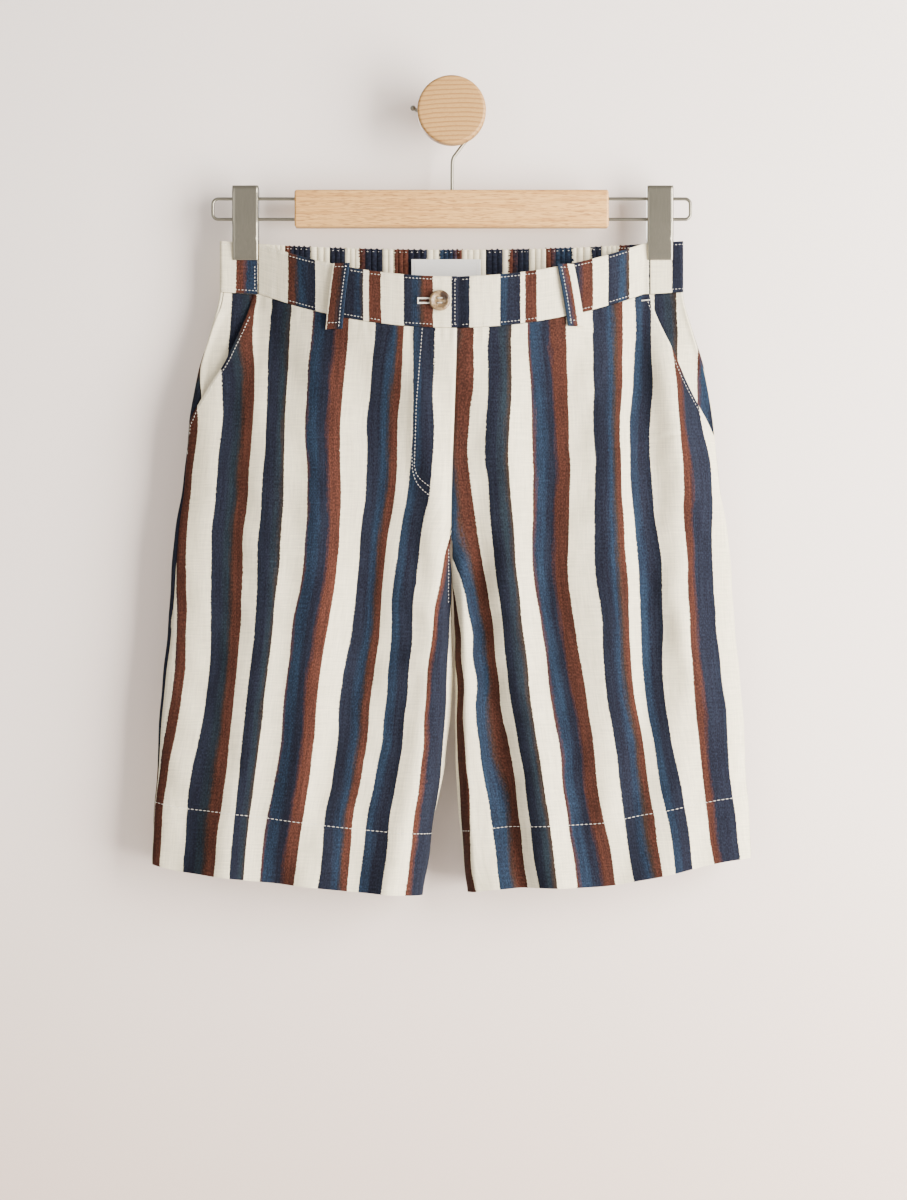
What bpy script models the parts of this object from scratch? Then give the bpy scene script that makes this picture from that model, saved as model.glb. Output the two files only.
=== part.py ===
"""Striped bermuda shorts, hung by the waist from a wooden clip hanger on a round wall peg.

The wall is the plane Y = 0 and the origin is the middle of the peg's flat back, which is fixed to it.
The shorts face -Y, +X is to the right as seen from the front, and +Z is up. The wearer's right leg is
the one at -X. Every size and place is in millimetres, and MM turns it into metres where a mesh is made.
"""

import math
from collections import namedtuple

import bmesh
import bpy
from mathutils import Matrix, Vector

MM = 0.001
SEAM_GAP = 0.3              # clearance between pieces that are sewn or seated together

# Depth of the hanger, of its clips and of the waist that they pinch
CLIP_PLANE = -22.0

# Waistband
BAND_HEIGHT = 41.6
BAND_WALL = 2.2
BAND_PINCH = 3.0            # clip plane to the band's outer face, where a clip holds it
WAIST_HALF = 190.3          # half the flat width, fold to fold
FRONT_HALF = 158.0          # half the slack span of the front band, between the clips
FRONT_TOP = -106.4          # height of the front band's top edge at a side seam
FRONT_SAG = 31.0            # how far its middle hangs below that
FRONT_BULGE = 33.0          # how far its middle stands forward
BACK_TOP = -104.6
BACK_SAG = 6.5
RIGHT_SEAM = -158.7         # side seams of the band, on the front
LEFT_SEAM = 162.8
LAP_EDGE = 4.9              # end of the right front band, which laps over the left one
UNDERLAP = 27.0             # length of the left band under that lap
GATHERS = 84                # gathers across the elasticated back
GATHER_DEPTH = 0.7
GATHER_END = 156.0          # beyond this the clips hold the band flat

# Leg panels
PANEL_WALL = 1.3
PANEL_PINCH = 2.5           # clip plane to a panel's outer face just under the pinched waist
HEM_WALL = 2.4
HEM_DEPTH = 52.0
LENS_ACROSS = 3.0           # powers that give a flattened leg its section
LENS_DEPTH = 2.2
WAIST_FLAT = 10.0           # below the band, the panels first hang straight from it
WAIST_BLEND = 115.0         # and have opened out into the hips by here
LEG_LENGTH = 477.0          # waistband to hem, down the middle of a leg
CROTCH = -402.0
FRONT_SPLIT = -335.0        # heights at which the front and back begin to part into two legs
BACK_SPLIT = -300.0
PANEL_GATHER = 1.5          # depth of the gathers under the elastic
PANEL_GATHER_FALL = 95.0
GATHER_TURN = 0.45          # turn next to each fold that stays smooth
FLY_WIDTH = 34.0
FLY_FOOT = -304.0
FLY_STEP = 0.8
POCKET_GAPE = 2.2
FACING_DEPTH = 1.7          # under the panels' outer face at the flat waist
FACING_SINK = 0.9           # and as much more where the hips round out
FACING_WALL = 1.2
FACING_UNDER = 0.33         # turn by which a facing runs on under the front panel
FACING_DROP = 0.32
SEAM_TURN = 0.010           # turn left clear at a seam
DRAPE = 2.2                 # depth of the soft folds at the hem
DRAPE_WIDTH = 78.0
DRAPE_START = -330.0
DRAPE_END = -620.0

RIGHT, LEFT = -1, 1         # the wearer's sides, as signs of X

# Half the outer width of the shorts, from the waist down to the hem
Silhouette = namedtuple("Silhouette", "height half_width")
SILHOUETTE = (
    Silhouette(-100.0, 190.3), Silhouette(-146.0, 190.3), Silhouette(-160.0, 192.8),
    Silhouette(-178.0, 198.2), Silhouette(-208.0, 207.0), Silhouette(-245.0, 213.5),
    Silhouette(-292.0, 218.5), Silhouette(-342.0, 226.0), Silhouette(-383.0, 229.8),
    Silhouette(-428.0, 233.0), Silhouette(-481.0, 238.0), Silhouette(-551.0, 242.2),
    Silhouette(-588.0, 244.5), Silhouette(-645.0, 245.4))

# Inner edge of each leg: the fly line above the crotch and the inside leg below it
InsideEdge = namedtuple("InsideEdge", "height right left")
INSIDE_EDGE = (
    InsideEdge(-140.0, 4.3, 4.6), InsideEdge(-180.0, 4.3, 4.6), InsideEdge(-235.0, 2.7, 3.0),
    InsideEdge(-300.0, 0.3, 0.6), InsideEdge(-354.0, -0.4, -0.1), InsideEdge(-402.0, 0.7, 1.2),
    InsideEdge(-432.0, 1.0, 2.3), InsideEdge(-463.0, 1.2, 2.7), InsideEdge(-485.0, 0.2, 2.8),
    InsideEdge(-525.0, -4.5, 3.0), InsideEdge(-544.0, -6.6, 3.4), InsideEdge(-560.0, -10.3, 4.3),
    InsideEdge(-577.0, -14.4, 6.4), InsideEdge(-601.0, -17.1, 8.9), InsideEdge(-645.0, -23.9, 12.8))

# Middle plane of the cloth and how far each face stands from it, over the body and over each leg
Depth = namedtuple("Depth", "height middle body_front body_back leg_front leg_back")
DEPTH = (
    Depth(-100.0, -22.0, 24.0, 12.0, 18.0, 15.0), Depth(-150.0, -22.0, 24.0, 13.0, 18.0, 15.0),
    Depth(-200.0, -24.5, 24.0, 15.5, 18.0, 15.0), Depth(-260.0, -27.0, 23.5, 18.0, 18.0, 16.0),
    Depth(-340.0, -27.0, 22.0, 19.0, 18.0, 17.0), Depth(-402.0, -27.0, 20.0, 18.5, 18.5, 17.5),
    Depth(-480.0, -27.0, 20.0, 18.5, 19.5, 18.0), Depth(-560.0, -27.0, 20.0, 18.5, 21.0, 18.5),
    Depth(-645.0, -27.0, 20.0, 18.5, 22.0, 19.0))

# Height of the hem, by the share of the way from the outer fold to the inside leg
Hem = namedtuple("Hem", "share right left")
HEM = (
    Hem(0.0, -615.0, -609.5), Hem(0.1, -620.0, -612.3), Hem(0.2, -622.5, -617.0),
    Hem(0.3, -625.0, -622.2), Hem(0.4, -627.7, -626.8), Hem(0.5, -630.0, -631.0),
    Hem(0.6, -632.5, -632.3), Hem(0.75, -636.0, -632.6), Hem(0.9, -638.5, -634.5),
    Hem(1.0, -640.0, -637.6))

# Distance of each pocket's mouth from the centre line
Pocket = namedtuple("Pocket", "height reach")
POCKET = (
    Pocket(-140.0, 160.0), Pocket(-148.0, 162.0), Pocket(-162.0, 166.5), Pocket(-180.0, 174.0),
    Pocket(-196.5, 181.3), Pocket(-210.0, 187.0), Pocket(-224.5, 194.5), Pocket(-238.0, 202.0),
    Pocket(-251.0, 208.0), Pocket(-266.0, 214.5))
POCKET_TOP = -148.0
POCKET_FOOT = -264.0

# Turn at which the side seam lies on the front, by the share of the way down to the hem
SideSeam = namedtuple("SideSeam", "drop right left")
SIDE_SEAM = (
    SideSeam(0.0, 0.34, 0.34), SideSeam(0.1, 0.30, 0.26), SideSeam(0.25, 0.25, 0.14),
    SideSeam(0.6, 0.32, 0.13), SideSeam(0.75, 0.20, 0.13), SideSeam(1.0, 0.13, 0.13))

# Belt loops: where the middle of each end lies, front face, by its height and place across
Loop = namedtuple("Loop", "name top_x top_height foot_x foot_height")
FRONT_LOOPS = (
    Loop("belt_loop_front_right", -89.0, -125.6, -95.2, -179.1),
    Loop("belt_loop_front_left", 92.2, -126.2, 101.0, -176.8))
LOOP_WIDTH = 12.8
LOOP_WALL = 1.4
LOOP_LIFT = 1.6
BACK_LOOP_TOP = -112.0
BACK_LOOP_LENGTH = 52.0

# Label inside the back band
LABEL_X = -4.5
LABEL_WIDTH = 57.0
LABEL_TOP = -119.4
LABEL_HEIGHT = 27.0
LABEL_WALL = 1.0

# Button
BUTTON_X = -9.5
BUTTON_HEIGHT = -157.2
BUTTON_RADIUS = 8.5
BUTTON_THICK = 3.4
BUTTON_HOLE_RADIUS = 0.85
BUTTON_HOLE_SPREAD = 1.75

# Wooden bar and its wire rails
BAR_LENGTH = 257.5
BAR_TOP = -62.8
BAR_FOOT = -93.5
BAR_THICK = 12.0
BAR_ROUND = 2.0
WIRE_RADIUS = 1.35
RAIL_REACH = 196.0
RAIL_HEIGHTS = (-69.7, -86.5)
RAIL_CORNER = 4.5

# Clips: a folded front jaw that the rails pass through, a back jaw and the spring between them
CLIP_WIDTH = 21.5
CLIP_SHEET = 1.2
CLIP_PLACES = (("right", -169.0), ("left", 171.0))
JAW_GRIP = BAND_PINCH + SEAM_GAP
SPRING_RADIUS = 3.0
SPRING_HEIGHT = -98.0

# Hook over the peg
HOOK_RADIUS = 1.4
HOOK_BEND = 22.0
HOOK_CENTRE = (-1.0, -6.3)
HOOK_SHANK_X = 0.4

# Peg: a turned disc on a stem
PEG_PROJECTION = 45.0
PEG_DISC_RADIUS = 28.0
PEG_DISC_THICK = 16.0
PEG_STEM_RADIUS = 14.0
PEG_ROUND = 2.6

# Grids of the cloth walls
FRONT_COLUMNS = 14
BACK_COLUMNS = 40
BODY_ROWS = 16
FACING_COLUMNS, FACING_ROWS = 5, 7
HEM_STEP = 0.006            # share of the drop over which the wall thickens into the hem

# Colour, roughness and metallic value of each finish
FINISHES = {
    "striped_linen": ((0.73, 0.69, 0.60), 0.85, 0.0),
    "striped_linen_blue": ((0.05, 0.09, 0.16), 0.85, 0.0),
    "label_weave": ((0.85, 0.84, 0.82), 0.6, 0.0),
    "horn": ((0.55, 0.42, 0.28), 0.3, 0.0),
    "beech": ((0.74, 0.53, 0.36), 0.5, 0.0),
    "satin_nickel": ((0.42, 0.40, 0.35), 0.35, 1.0)}


# Numbers

def mix(start, end, share):
    """Value that lies a share of the way from start to end."""
    return start + (end - start) * share


def ease(start, end, value):
    """0 at start and 1 at end, with a smooth rise between them."""
    share = min(max((value - start) / (end - start), 0.0), 1.0)
    return share * share * (3.0 - 2.0 * share)


def read(table, column, key):
    """Named column of a table at a key, on a smooth curve through its rows."""
    keys = [row[0] for row in table]
    values = [getattr(row, column) for row in table]
    rising = keys[-1] > keys[0]
    key = min(max(key, min(keys)), max(keys))
    last = len(keys) - 2
    at = 0
    while at < last and (key > keys[at + 1] if rising else key < keys[at + 1]):
        at += 1
    before, after = max(at - 1, 0), min(at + 2, len(keys) - 1)
    span = keys[at + 1] - keys[at]
    slope_in = (values[at + 1] - values[before]) / (keys[at + 1] - keys[before]) * span
    slope_out = (values[after] - values[at]) / (keys[after] - keys[at]) * span
    share = (key - keys[at]) / span
    square, cube = share ** 2, share ** 3
    return (values[at] * (2 * cube - 3 * square + 1) + slope_in * (cube - 2 * square + share)
            + values[at + 1] * (3 * square - 2 * cube) + slope_out * (cube - square))


# Shape of the cloth

def band_top(x, front):
    """Height of the waistband's top edge."""
    if front:
        return FRONT_TOP - FRONT_SAG * (1.0 - min(abs(x) / FRONT_HALF, 1.0) ** 2)
    return BACK_TOP - BACK_SAG * (1.0 - min(abs(x) / WAIST_HALF, 1.0) ** 2)


def waist_edge(x, front):
    """Height of the waistband's lower edge."""
    return band_top(x, front and abs(x) < FRONT_HALF) - BAND_HEIGHT


def bulge(x):
    """How far the slack front of the waist stands forward of the pinched sides."""
    return FRONT_BULGE * max(1.0 - (x / FRONT_HALF) ** 2, 0.0)


def lens(share):
    """Height of a flattened section, 1 in its middle and 0 at its folds."""
    return (1.0 - min(share, 1.0) ** LENS_ACROSS) ** (1.0 / LENS_DEPTH)


def nose(across, reach):
    """Round end of the pinched waist, whose radius is the pinch itself."""
    inward = min(max((across - reach + PANEL_PINCH) / PANEL_PINCH, 0.0), 1.0)
    return math.sqrt(1.0 - inward ** 2)


def drape(side, across, height):
    """Soft folds that deepen towards the hem."""
    fall = ease(DRAPE_START, DRAPE_END, height)
    return DRAPE * fall * math.sin(2.0 * math.pi * across / DRAPE_WIDTH + 0.9 * side)


def face_depth(side, turn, across, reach, height):
    """Y of the outer face: pinched flat at the waist, opened out below it."""
    front = turn > 0.0
    face = "front" if front else "back"
    toward = -1.0 if front else 1.0
    pinched = PANEL_PINCH * nose(across, reach) + (bulge(across) if front else 0.0)
    body = read(DEPTH, "body_" + face, height) * lens(abs(across) / reach)
    leg = read(DEPTH, "leg_" + face, height) * lens(abs(math.cos(turn)))
    split = ease(FRONT_SPLIT if front else BACK_SPLIT, CROTCH, height)
    opened = mix(body, leg, split) + drape(side, across, height) * abs(math.sin(turn))
    share = ease(WAIST_FLAT, WAIST_BLEND, waist_edge(across, front) - height)
    return mix(CLIP_PLANE + toward * pinched, read(DEPTH, "middle", height) + toward * opened, share)


def edges(side, turn, drop):
    """Distance from the centre line of a row's outer fold and of its inner edge."""
    front = turn > 0.0
    column = "right" if side == RIGHT else "left"
    outer = mix(waist_edge(WAIST_HALF, front), read(HEM, column, 0.0), drop)
    inner = mix(waist_edge(0.0, front), read(HEM, column, 1.0), drop)
    return read(SILHOUETTE, "half_width", outer), side * read(INSIDE_EDGE, column, inner)


def ring(side, turn, drop):
    """Point on a leg's outer face.

    turn is 0 at the outer fold, pi at the inside leg by way of the front and -pi by way of the back.
    drop is 0 at the waistband and 1 at the hem.
    """
    front = turn > 0.0
    column = "right" if side == RIGHT else "left"
    reach, inner = edges(side, turn, drop)
    share = (1.0 - math.cos(turn)) / 2.0
    across = mix(reach, inner, share)
    top = waist_edge(across, front) - SEAM_GAP
    height = mix(top, read(HEM, column, share), drop)
    return Vector((side * across, face_depth(side, turn, across, reach, height), height))


def outward(side, turn, drop):
    """Unit normal of the smooth outer face, taken between close points of the same face."""
    step = 0.002
    low = max(turn - step, -math.pi)
    high = min(turn + step, math.pi)
    if abs(turn) > step and low * high < 0.0:
        low, high = (low, turn) if turn < 0.0 else (turn, high)
    around = ring(side, high, drop) - ring(side, low, drop)
    down = ring(side, turn, min(drop + step, 1.0)) - ring(side, turn, max(drop - step, 0.0))
    return around.cross(down).normalized() * side


def skin(side, turn, drop, depth):
    """Point at a depth under the outer face."""
    return ring(side, turn, drop) - outward(side, turn, drop) * depth


def side_seam(side, drop):
    """Turn of the side seam, where the back panel ends on the front."""
    return read(SIDE_SEAM, "right" if side == RIGHT else "left", drop)


def front_turn(side, drop):
    """Turn of the front panel's outer edge: the pocket's mouth, then the side seam."""
    seam = side_seam(side, drop) + SEAM_TURN
    turn = seam
    for _ in range(5):
        height = ring(side, turn, drop).z
        if height < POCKET_FOOT:
            return seam
        reach, inner = edges(side, turn, drop)
        share = (reach - read(POCKET, "reach", height)) / (reach - inner)
        turn = max(math.acos(1.0 - 2.0 * max(share, 0.0)), seam)
    return turn


def row_drops():
    """Drops of a panel's rows, with a close pair where the hem begins."""
    hem = 1.0 - HEM_DEPTH / LEG_LENGTH
    body = [hem * row / BODY_ROWS for row in range(BODY_ROWS)]
    return body + [hem - HEM_STEP, hem, mix(hem, 1.0, 0.5), 1.0]


def wall_depth(drop, hem_start):
    """Thickness of a panel, which is folded double at the hem."""
    return mix(PANEL_WALL, HEM_WALL, ease(hem_start - HEM_STEP, hem_start, drop))


# Objects

def collection(name):
    """New collection in the scene."""
    made = bpy.data.collections.new(name)
    bpy.context.scene.collection.children.link(made)
    return made


def finish(name):
    """Material of a named finish."""
    made = bpy.data.materials.get(name)
    if made is None:
        colour, roughness, metallic = FINISHES[name]
        made = bpy.data.materials.new(name)
        made.use_nodes = True
        shader = made.node_tree.nodes["Principled BSDF"]
        shader.inputs["Base Color"].default_value = (*colour, 1.0)
        shader.inputs["Roughness"].default_value = roughness
        shader.inputs["Metallic"].default_value = metallic
    return made


def add(name, data, finish_name, group):
    """Object of its own for a piece, in the garment's collection."""
    piece = bpy.data.objects.new(name, data)
    piece.data.materials.append(finish(finish_name))
    group.objects.link(piece)
    return piece


def from_bmesh(name, shape, finish_name, group):
    """Object made of a bmesh whose points are in millimetres."""
    bmesh.ops.recalc_face_normals(shape, faces=shape.faces)
    bmesh.ops.scale(shape, vec=Vector((MM, MM, MM)), verts=shape.verts)
    mesh = bpy.data.meshes.new(name)
    shape.to_mesh(mesh)
    shape.free()
    mesh.shade_smooth()
    mesh.set_sharp_from_angle(angle=math.radians(40.0))
    return add(name, mesh, finish_name, group)


def wall(name, columns, rows, outer, inner, finish_name, group):
    """Closed wall of cloth: a grid and its extruded copy, moved to two faces.

    outer and inner give a face's point for a column and a row number.
    """
    shape = bmesh.new()
    bmesh.ops.create_grid(shape, x_segments=columns, y_segments=rows, size=0.5)
    grown = bmesh.ops.extrude_face_region(shape, geom=shape.faces[:])
    inside = {vert for vert in grown["geom"] if isinstance(vert, bmesh.types.BMVert)}
    for vert in shape.verts:
        column = round((vert.co.x + 0.5) * columns)
        row = round((0.5 - vert.co.y) * rows)
        vert.co = (inner if vert in inside else outer)(column, row)
    return from_bmesh(name, shape, finish_name, group)


def tube(name, points, radius, finish_name, group):
    """Round wire through points of the clip plane, given as (x, height)."""
    curve = bpy.data.curves.new(name, "CURVE")
    curve.dimensions = "3D"
    curve.bevel_depth = radius * MM
    curve.bevel_resolution = 2
    curve.use_fill_caps = True
    spline = curve.splines.new("POLY")
    spline.points.add(len(points) - 1)
    for point, (x, height) in zip(spline.points, points):
        point.co = (x * MM, CLIP_PLANE * MM, height * MM, 1.0)
    return add(name, curve, finish_name, group)


def prism(name, outline, low, high, finish_name, group):
    """Sheet cut to an outline of (depth, height) and as wide in X as from low to high."""
    shape = bmesh.new()
    corners = [shape.verts.new((low, depth, height)) for depth, height in outline]
    face = shape.faces.new(corners)
    grown = bmesh.ops.extrude_face_region(shape, geom=[face])
    moved = [vert for vert in grown["geom"] if isinstance(vert, bmesh.types.BMVert)]
    bmesh.ops.translate(shape, vec=Vector((high - low, 0.0, 0.0)), verts=moved)
    return from_bmesh(name, shape, finish_name, group)


def turned(name, profile, steps, finish_name, group):
    """Turned piece from a profile of (radius, height), listed from its top down."""
    mesh = bpy.data.meshes.new(name)
    points = [(radius * MM, 0.0, height * MM) for radius, height in profile]
    mesh.from_pydata(points, [(at, at + 1) for at in range(len(points) - 1)], [])
    piece = add(name, mesh, finish_name, group)
    screw = piece.modifiers.new("Turn", "SCREW")
    screw.steps = steps
    screw.render_steps = steps
    screw.use_merge_vertices = True
    screw.merge_threshold = 0.00001
    screw.use_smooth_shade = True
    return piece


def cylinder(name, radius, length, centre, finish_name, group):
    """Round bar along X."""
    shape = bmesh.new()
    turn = Matrix.Translation(Vector(centre)) @ Matrix.Rotation(math.pi / 2.0, 4, "Y")
    bmesh.ops.create_cone(shape, cap_ends=True, segments=16, radius1=radius, radius2=radius,
                          depth=length, matrix=turn)
    return from_bmesh(name, shape, finish_name, group)


def cut(piece, cutter):
    """Take a cutter's shape out of a piece."""
    cutter.hide_render = True
    cutter.display_type = "WIRE"
    boolean = piece.modifiers.new("Cut", "BOOLEAN")
    boolean.operation = "DIFFERENCE"
    boolean.solver = "EXACT"
    boolean.object = cutter


# Cloth pieces

def make_front(side, group):
    """Front leg panel, from the waistband to the hem, cut away at the pocket's mouth."""
    drops = row_drops()
    hem_start = drops[BODY_ROWS + 1]

    def point(column, row, inside):
        drop = drops[row]
        start = front_turn(side, drop)
        turn = mix(start, math.pi - SEAM_TURN, column / FRONT_COLUMNS)
        place = ring(side, turn, drop)
        centre_gap = abs(place.x - read(INSIDE_EDGE, "right", place.z))
        proud = 0.0
        if side == RIGHT:
            proud = FLY_STEP * ease(FLY_WIDTH + 8.0, FLY_WIDTH, centre_gap)
            proud *= ease(FLY_FOOT - 14.0, FLY_FOOT, place.z)
        if place.z > POCKET_FOOT:
            along = (POCKET_TOP - place.z) / (POCKET_TOP - POCKET_FOOT)
            back_from_mouth = read(POCKET, "reach", place.z) - abs(place.x)
            proud += POCKET_GAPE * math.sin(math.pi * along) * ease(32.0, 0.0, back_from_mouth)
        depth = wall_depth(drop, hem_start) if inside else 0.0
        return skin(side, turn, drop, depth - max(proud, 0.0))

    name = "front_right" if side == RIGHT else "front_left"
    wall(name, FRONT_COLUMNS, len(drops) - 1, lambda column, row: point(column, row, False),
         lambda column, row: point(column, row, True), "striped_linen", group)


def make_back(side, group):
    """Back leg panel, gathered under the elastic, which wraps round to the side seam."""
    drops = row_drops()
    hem_start = drops[BODY_ROWS + 1]

    def point(column, row, inside):
        drop = drops[row]
        turn = mix(-math.pi + SEAM_TURN, side_seam(side, drop), column / BACK_COLUMNS)
        place = ring(side, turn, drop)
        fall = waist_edge(place.x, turn > 0.0) - place.z
        fade = ease(PANEL_GATHER_FALL, 0.0, fall)
        fade *= ease(GATHER_TURN, 2.0 * GATHER_TURN, -turn) * ease(0.0, GATHER_TURN, math.pi + turn)
        gather = PANEL_GATHER * fade * (1.0 if column % 2 else -0.4)
        depth = wall_depth(drop, hem_start) if inside else 0.0
        return skin(side, turn, drop, depth - gather)

    name = "back_right" if side == RIGHT else "back_left"
    wall(name, BACK_COLUMNS, len(drops) - 1, lambda column, row: point(column, row, False),
         lambda column, row: point(column, row, True), "striped_linen", group)


def make_facing(side, group):
    """Hip piece that shows inside the pocket's mouth."""

    def point(column, row, depth):
        drop = FACING_DROP * row / FACING_ROWS
        start = side_seam(side, drop) + 3.0 * SEAM_TURN
        end = front_turn(side, drop) + FACING_UNDER
        sunk = depth + FACING_SINK * ease(0.0, 0.12, drop)
        return skin(side, mix(start, end, column / FACING_COLUMNS), drop, sunk)

    name = "pocket_facing_right" if side == RIGHT else "pocket_facing_left"
    wall(name, FACING_COLUMNS, FACING_ROWS, lambda column, row: point(column, row, FACING_DEPTH),
         lambda column, row: point(column, row, FACING_DEPTH + FACING_WALL), "striped_linen_blue", group)


def front_band(x, height, out):
    """Point at a distance out from the front band's outer face."""
    slope = 2.0 * FRONT_BULGE * x / FRONT_HALF ** 2 if abs(x) < FRONT_HALF else 0.0
    away = Vector((slope, -1.0, 0.0)).normalized()
    return Vector((x, CLIP_PLANE - BAND_PINCH - bulge(x), height)) + away * out


def make_front_bands(group):
    """The two halves of the front waistband, the right lapping over the left."""
    columns, rows = 14, 2

    def right(column, row, out):
        x = mix(RIGHT_SEAM + SEAM_GAP, LAP_EDGE, column / columns)
        return front_band(x, band_top(x, True) - BAND_HEIGHT * row / rows, out)

    def left(column, row, out):
        x = mix(LAP_EDGE - UNDERLAP, FRONT_HALF, (column / (columns - 1)) ** 1.25)
        if column == columns:
            x = LEFT_SEAM - SEAM_GAP
        tuck = (BAND_WALL + SEAM_GAP) * ease(LAP_EDGE + 12.0, LAP_EDGE + 0.5, x)
        return front_band(x, band_top(x, True) - BAND_HEIGHT * row / rows, out - tuck)

    for name, place in (("waistband_front_right", right), ("waistband_front_left", left)):
        wall(name, columns, rows, lambda column, row, place=place: place(column, row, 0.0),
             lambda column, row, place=place: place(column, row, -BAND_WALL), "striped_linen_blue", group)


def back_band_path():
    """Columns of the back band as (x, depth, normal), from one side seam round to the other."""
    straight_end = WAIST_HALF - BAND_PINCH
    turns, stubs = 6, 3
    path = []
    for step in range(stubs):
        x = mix(RIGHT_SEAM - SEAM_GAP, -straight_end, step / stubs)
        path.append((x, CLIP_PLANE - BAND_PINCH, (0.0, -1.0)))
    for step in range(turns):
        angle = math.pi * step / turns
        normal = (-math.sin(angle), -math.cos(angle))
        path.append((-straight_end + BAND_PINCH * normal[0], CLIP_PLANE + BAND_PINCH * normal[1], normal))
    for step in range(2 * GATHERS + 1):
        x = mix(-straight_end, straight_end, step / (2 * GATHERS))
        fade = ease(GATHER_END, GATHER_END - 30.0, abs(x))
        wave = GATHER_DEPTH * fade * (1.0 if step % 2 else -1.0)
        path.append((x, CLIP_PLANE + BAND_PINCH + wave, (0.0, 1.0)))
    for step in range(turns):
        angle = math.pi * (step + 1) / turns
        normal = (math.sin(angle), math.cos(angle))
        path.append((straight_end + BAND_PINCH * normal[0], CLIP_PLANE + BAND_PINCH * normal[1], normal))
    for step in range(stubs):
        x = mix(straight_end, LEFT_SEAM + SEAM_GAP, (step + 1) / stubs)
        path.append((x, CLIP_PLANE - BAND_PINCH, (0.0, -1.0)))
    return path


def make_back_band(group):
    """Elasticated back band, which wraps round to the front at each side."""
    path = back_band_path()

    def point(column, row, depth):
        x, y, normal = path[column]
        place = Vector((x, y, band_top(x, False) - BAND_HEIGHT * row))
        return place - Vector((normal[0], normal[1], 0.0)) * depth

    wall("waistband_back", len(path) - 1, 1, lambda column, row: point(column, row, 0.0),
         lambda column, row: point(column, row, BAND_WALL), "striped_linen", group)


def make_belt_loops(group):
    """Belt loops: two on the front, which lean as they hang, and one at the centre back."""
    columns, rows = 2, 8

    def lift(row):
        return SEAM_GAP + LOOP_LIFT * math.sin(math.pi * row / rows)

    for loop in FRONT_LOOPS:
        def point(column, row, out, loop=loop):
            share = row / rows
            x = mix(loop.top_x, loop.foot_x, share) + LOOP_WIDTH * (column / columns - 0.5)
            return front_band(x, mix(loop.top_height, loop.foot_height, share), lift(row) + out)

        wall(loop.name, columns, rows, lambda column, row, point=point: point(column, row, LOOP_WALL),
             lambda column, row, point=point: point(column, row, 0.0), "striped_linen_blue", group)

    def behind(column, row, out):
        x = LOOP_WIDTH * (0.5 - column / columns)
        y = CLIP_PLANE + BAND_PINCH + 2.0 * GATHER_DEPTH + lift(row) + out
        return Vector((x, y, BACK_LOOP_TOP - BACK_LOOP_LENGTH * row / rows))

    wall("belt_loop_back", columns, rows, lambda column, row: behind(column, row, LOOP_WALL),
         lambda column, row: behind(column, row, 0.0), "striped_linen_blue", group)


def make_label(group):
    """Blank label on the inside of the back band."""
    columns = 4
    face = CLIP_PLANE + BAND_PINCH - GATHER_DEPTH - BAND_WALL - SEAM_GAP

    def point(column, row, out):
        x = LABEL_X + LABEL_WIDTH * (column / columns - 0.5)
        return Vector((x, face - out, LABEL_TOP - LABEL_HEIGHT * row))

    wall("waist_label", columns, 1, lambda column, row: point(column, row, LABEL_WALL),
         lambda column, row: point(column, row, 0.0), "label_weave", group)


def make_button(group, cutters):
    """Four hole button with a raised rim, on the lap of the waistband."""
    profile = ((0.0, 1.7), (4.6, 1.7), (5.8, BUTTON_THICK - 0.2), (6.8, BUTTON_THICK), (7.8, 3.0),
               (BUTTON_RADIUS, 2.0), (BUTTON_RADIUS - 0.2, 0.9), (7.0, 0.0), (0.0, 0.0))
    button = turned("waist_button", profile, 24, "horn", group)
    face = front_band(BUTTON_X, BUTTON_HEIGHT, SEAM_GAP)
    button.location = face * MM
    button.rotation_euler = (math.pi / 2.0, 0.0, 0.0)
    for across, up in ((1, 1), (1, -1), (-1, 1), (-1, -1)):
        x = BUTTON_X + across * BUTTON_HOLE_SPREAD
        height = BUTTON_HEIGHT + up * BUTTON_HOLE_SPREAD
        shape = bmesh.new()
        turn = Matrix.Translation(Vector((x, face.y, height))) @ Matrix.Rotation(math.pi / 2.0, 4, "X")
        bmesh.ops.create_cone(shape, cap_ends=True, segments=10, radius1=BUTTON_HOLE_RADIUS,
                              radius2=BUTTON_HOLE_RADIUS, depth=12.0, matrix=turn)
        cut(button, from_bmesh("button_hole_cutter", shape, "horn", cutters))


# Hanger and peg

def make_bar(group):
    """Wooden bar of the hanger."""
    shape = bmesh.new()
    bmesh.ops.create_cube(shape, size=1.0)
    bmesh.ops.scale(shape, vec=Vector((BAR_LENGTH, BAR_THICK, BAR_TOP - BAR_FOOT)), verts=shape.verts)
    bmesh.ops.translate(shape, vec=Vector((0.0, CLIP_PLANE, (BAR_TOP + BAR_FOOT) / 2.0)), verts=shape.verts)
    bar = from_bmesh("hanger_bar", shape, "beech", group)
    bevel = bar.modifiers.new("Round", "BEVEL")
    bevel.width = BAR_ROUND * MM
    bevel.segments = 2


def make_rails(group):
    """Wire rails, each a long loop whose ends meet the end of the bar."""
    steps = 4
    for name, sign in (("hanger_rail_right", RIGHT), ("hanger_rail_left", LEFT)):
        upper, lower = RAIL_HEIGHTS
        start = sign * (BAR_LENGTH / 2.0 + SEAM_GAP)
        corner = sign * (RAIL_REACH - RAIL_CORNER)
        points = [(start, upper)]
        for step in range(steps + 1):
            angle = math.pi / 2.0 * (1.0 - step / steps)
            points.append((corner + sign * RAIL_CORNER * math.cos(angle),
                           upper - RAIL_CORNER + RAIL_CORNER * math.sin(angle)))
        for step in range(steps + 1):
            angle = -math.pi / 2.0 * step / steps
            points.append((corner + sign * RAIL_CORNER * math.cos(angle),
                           lower + RAIL_CORNER + RAIL_CORNER * math.sin(angle)))
        points.append((start, lower))
        tube(name, points, WIRE_RADIUS, "satin_nickel", group)


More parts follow.
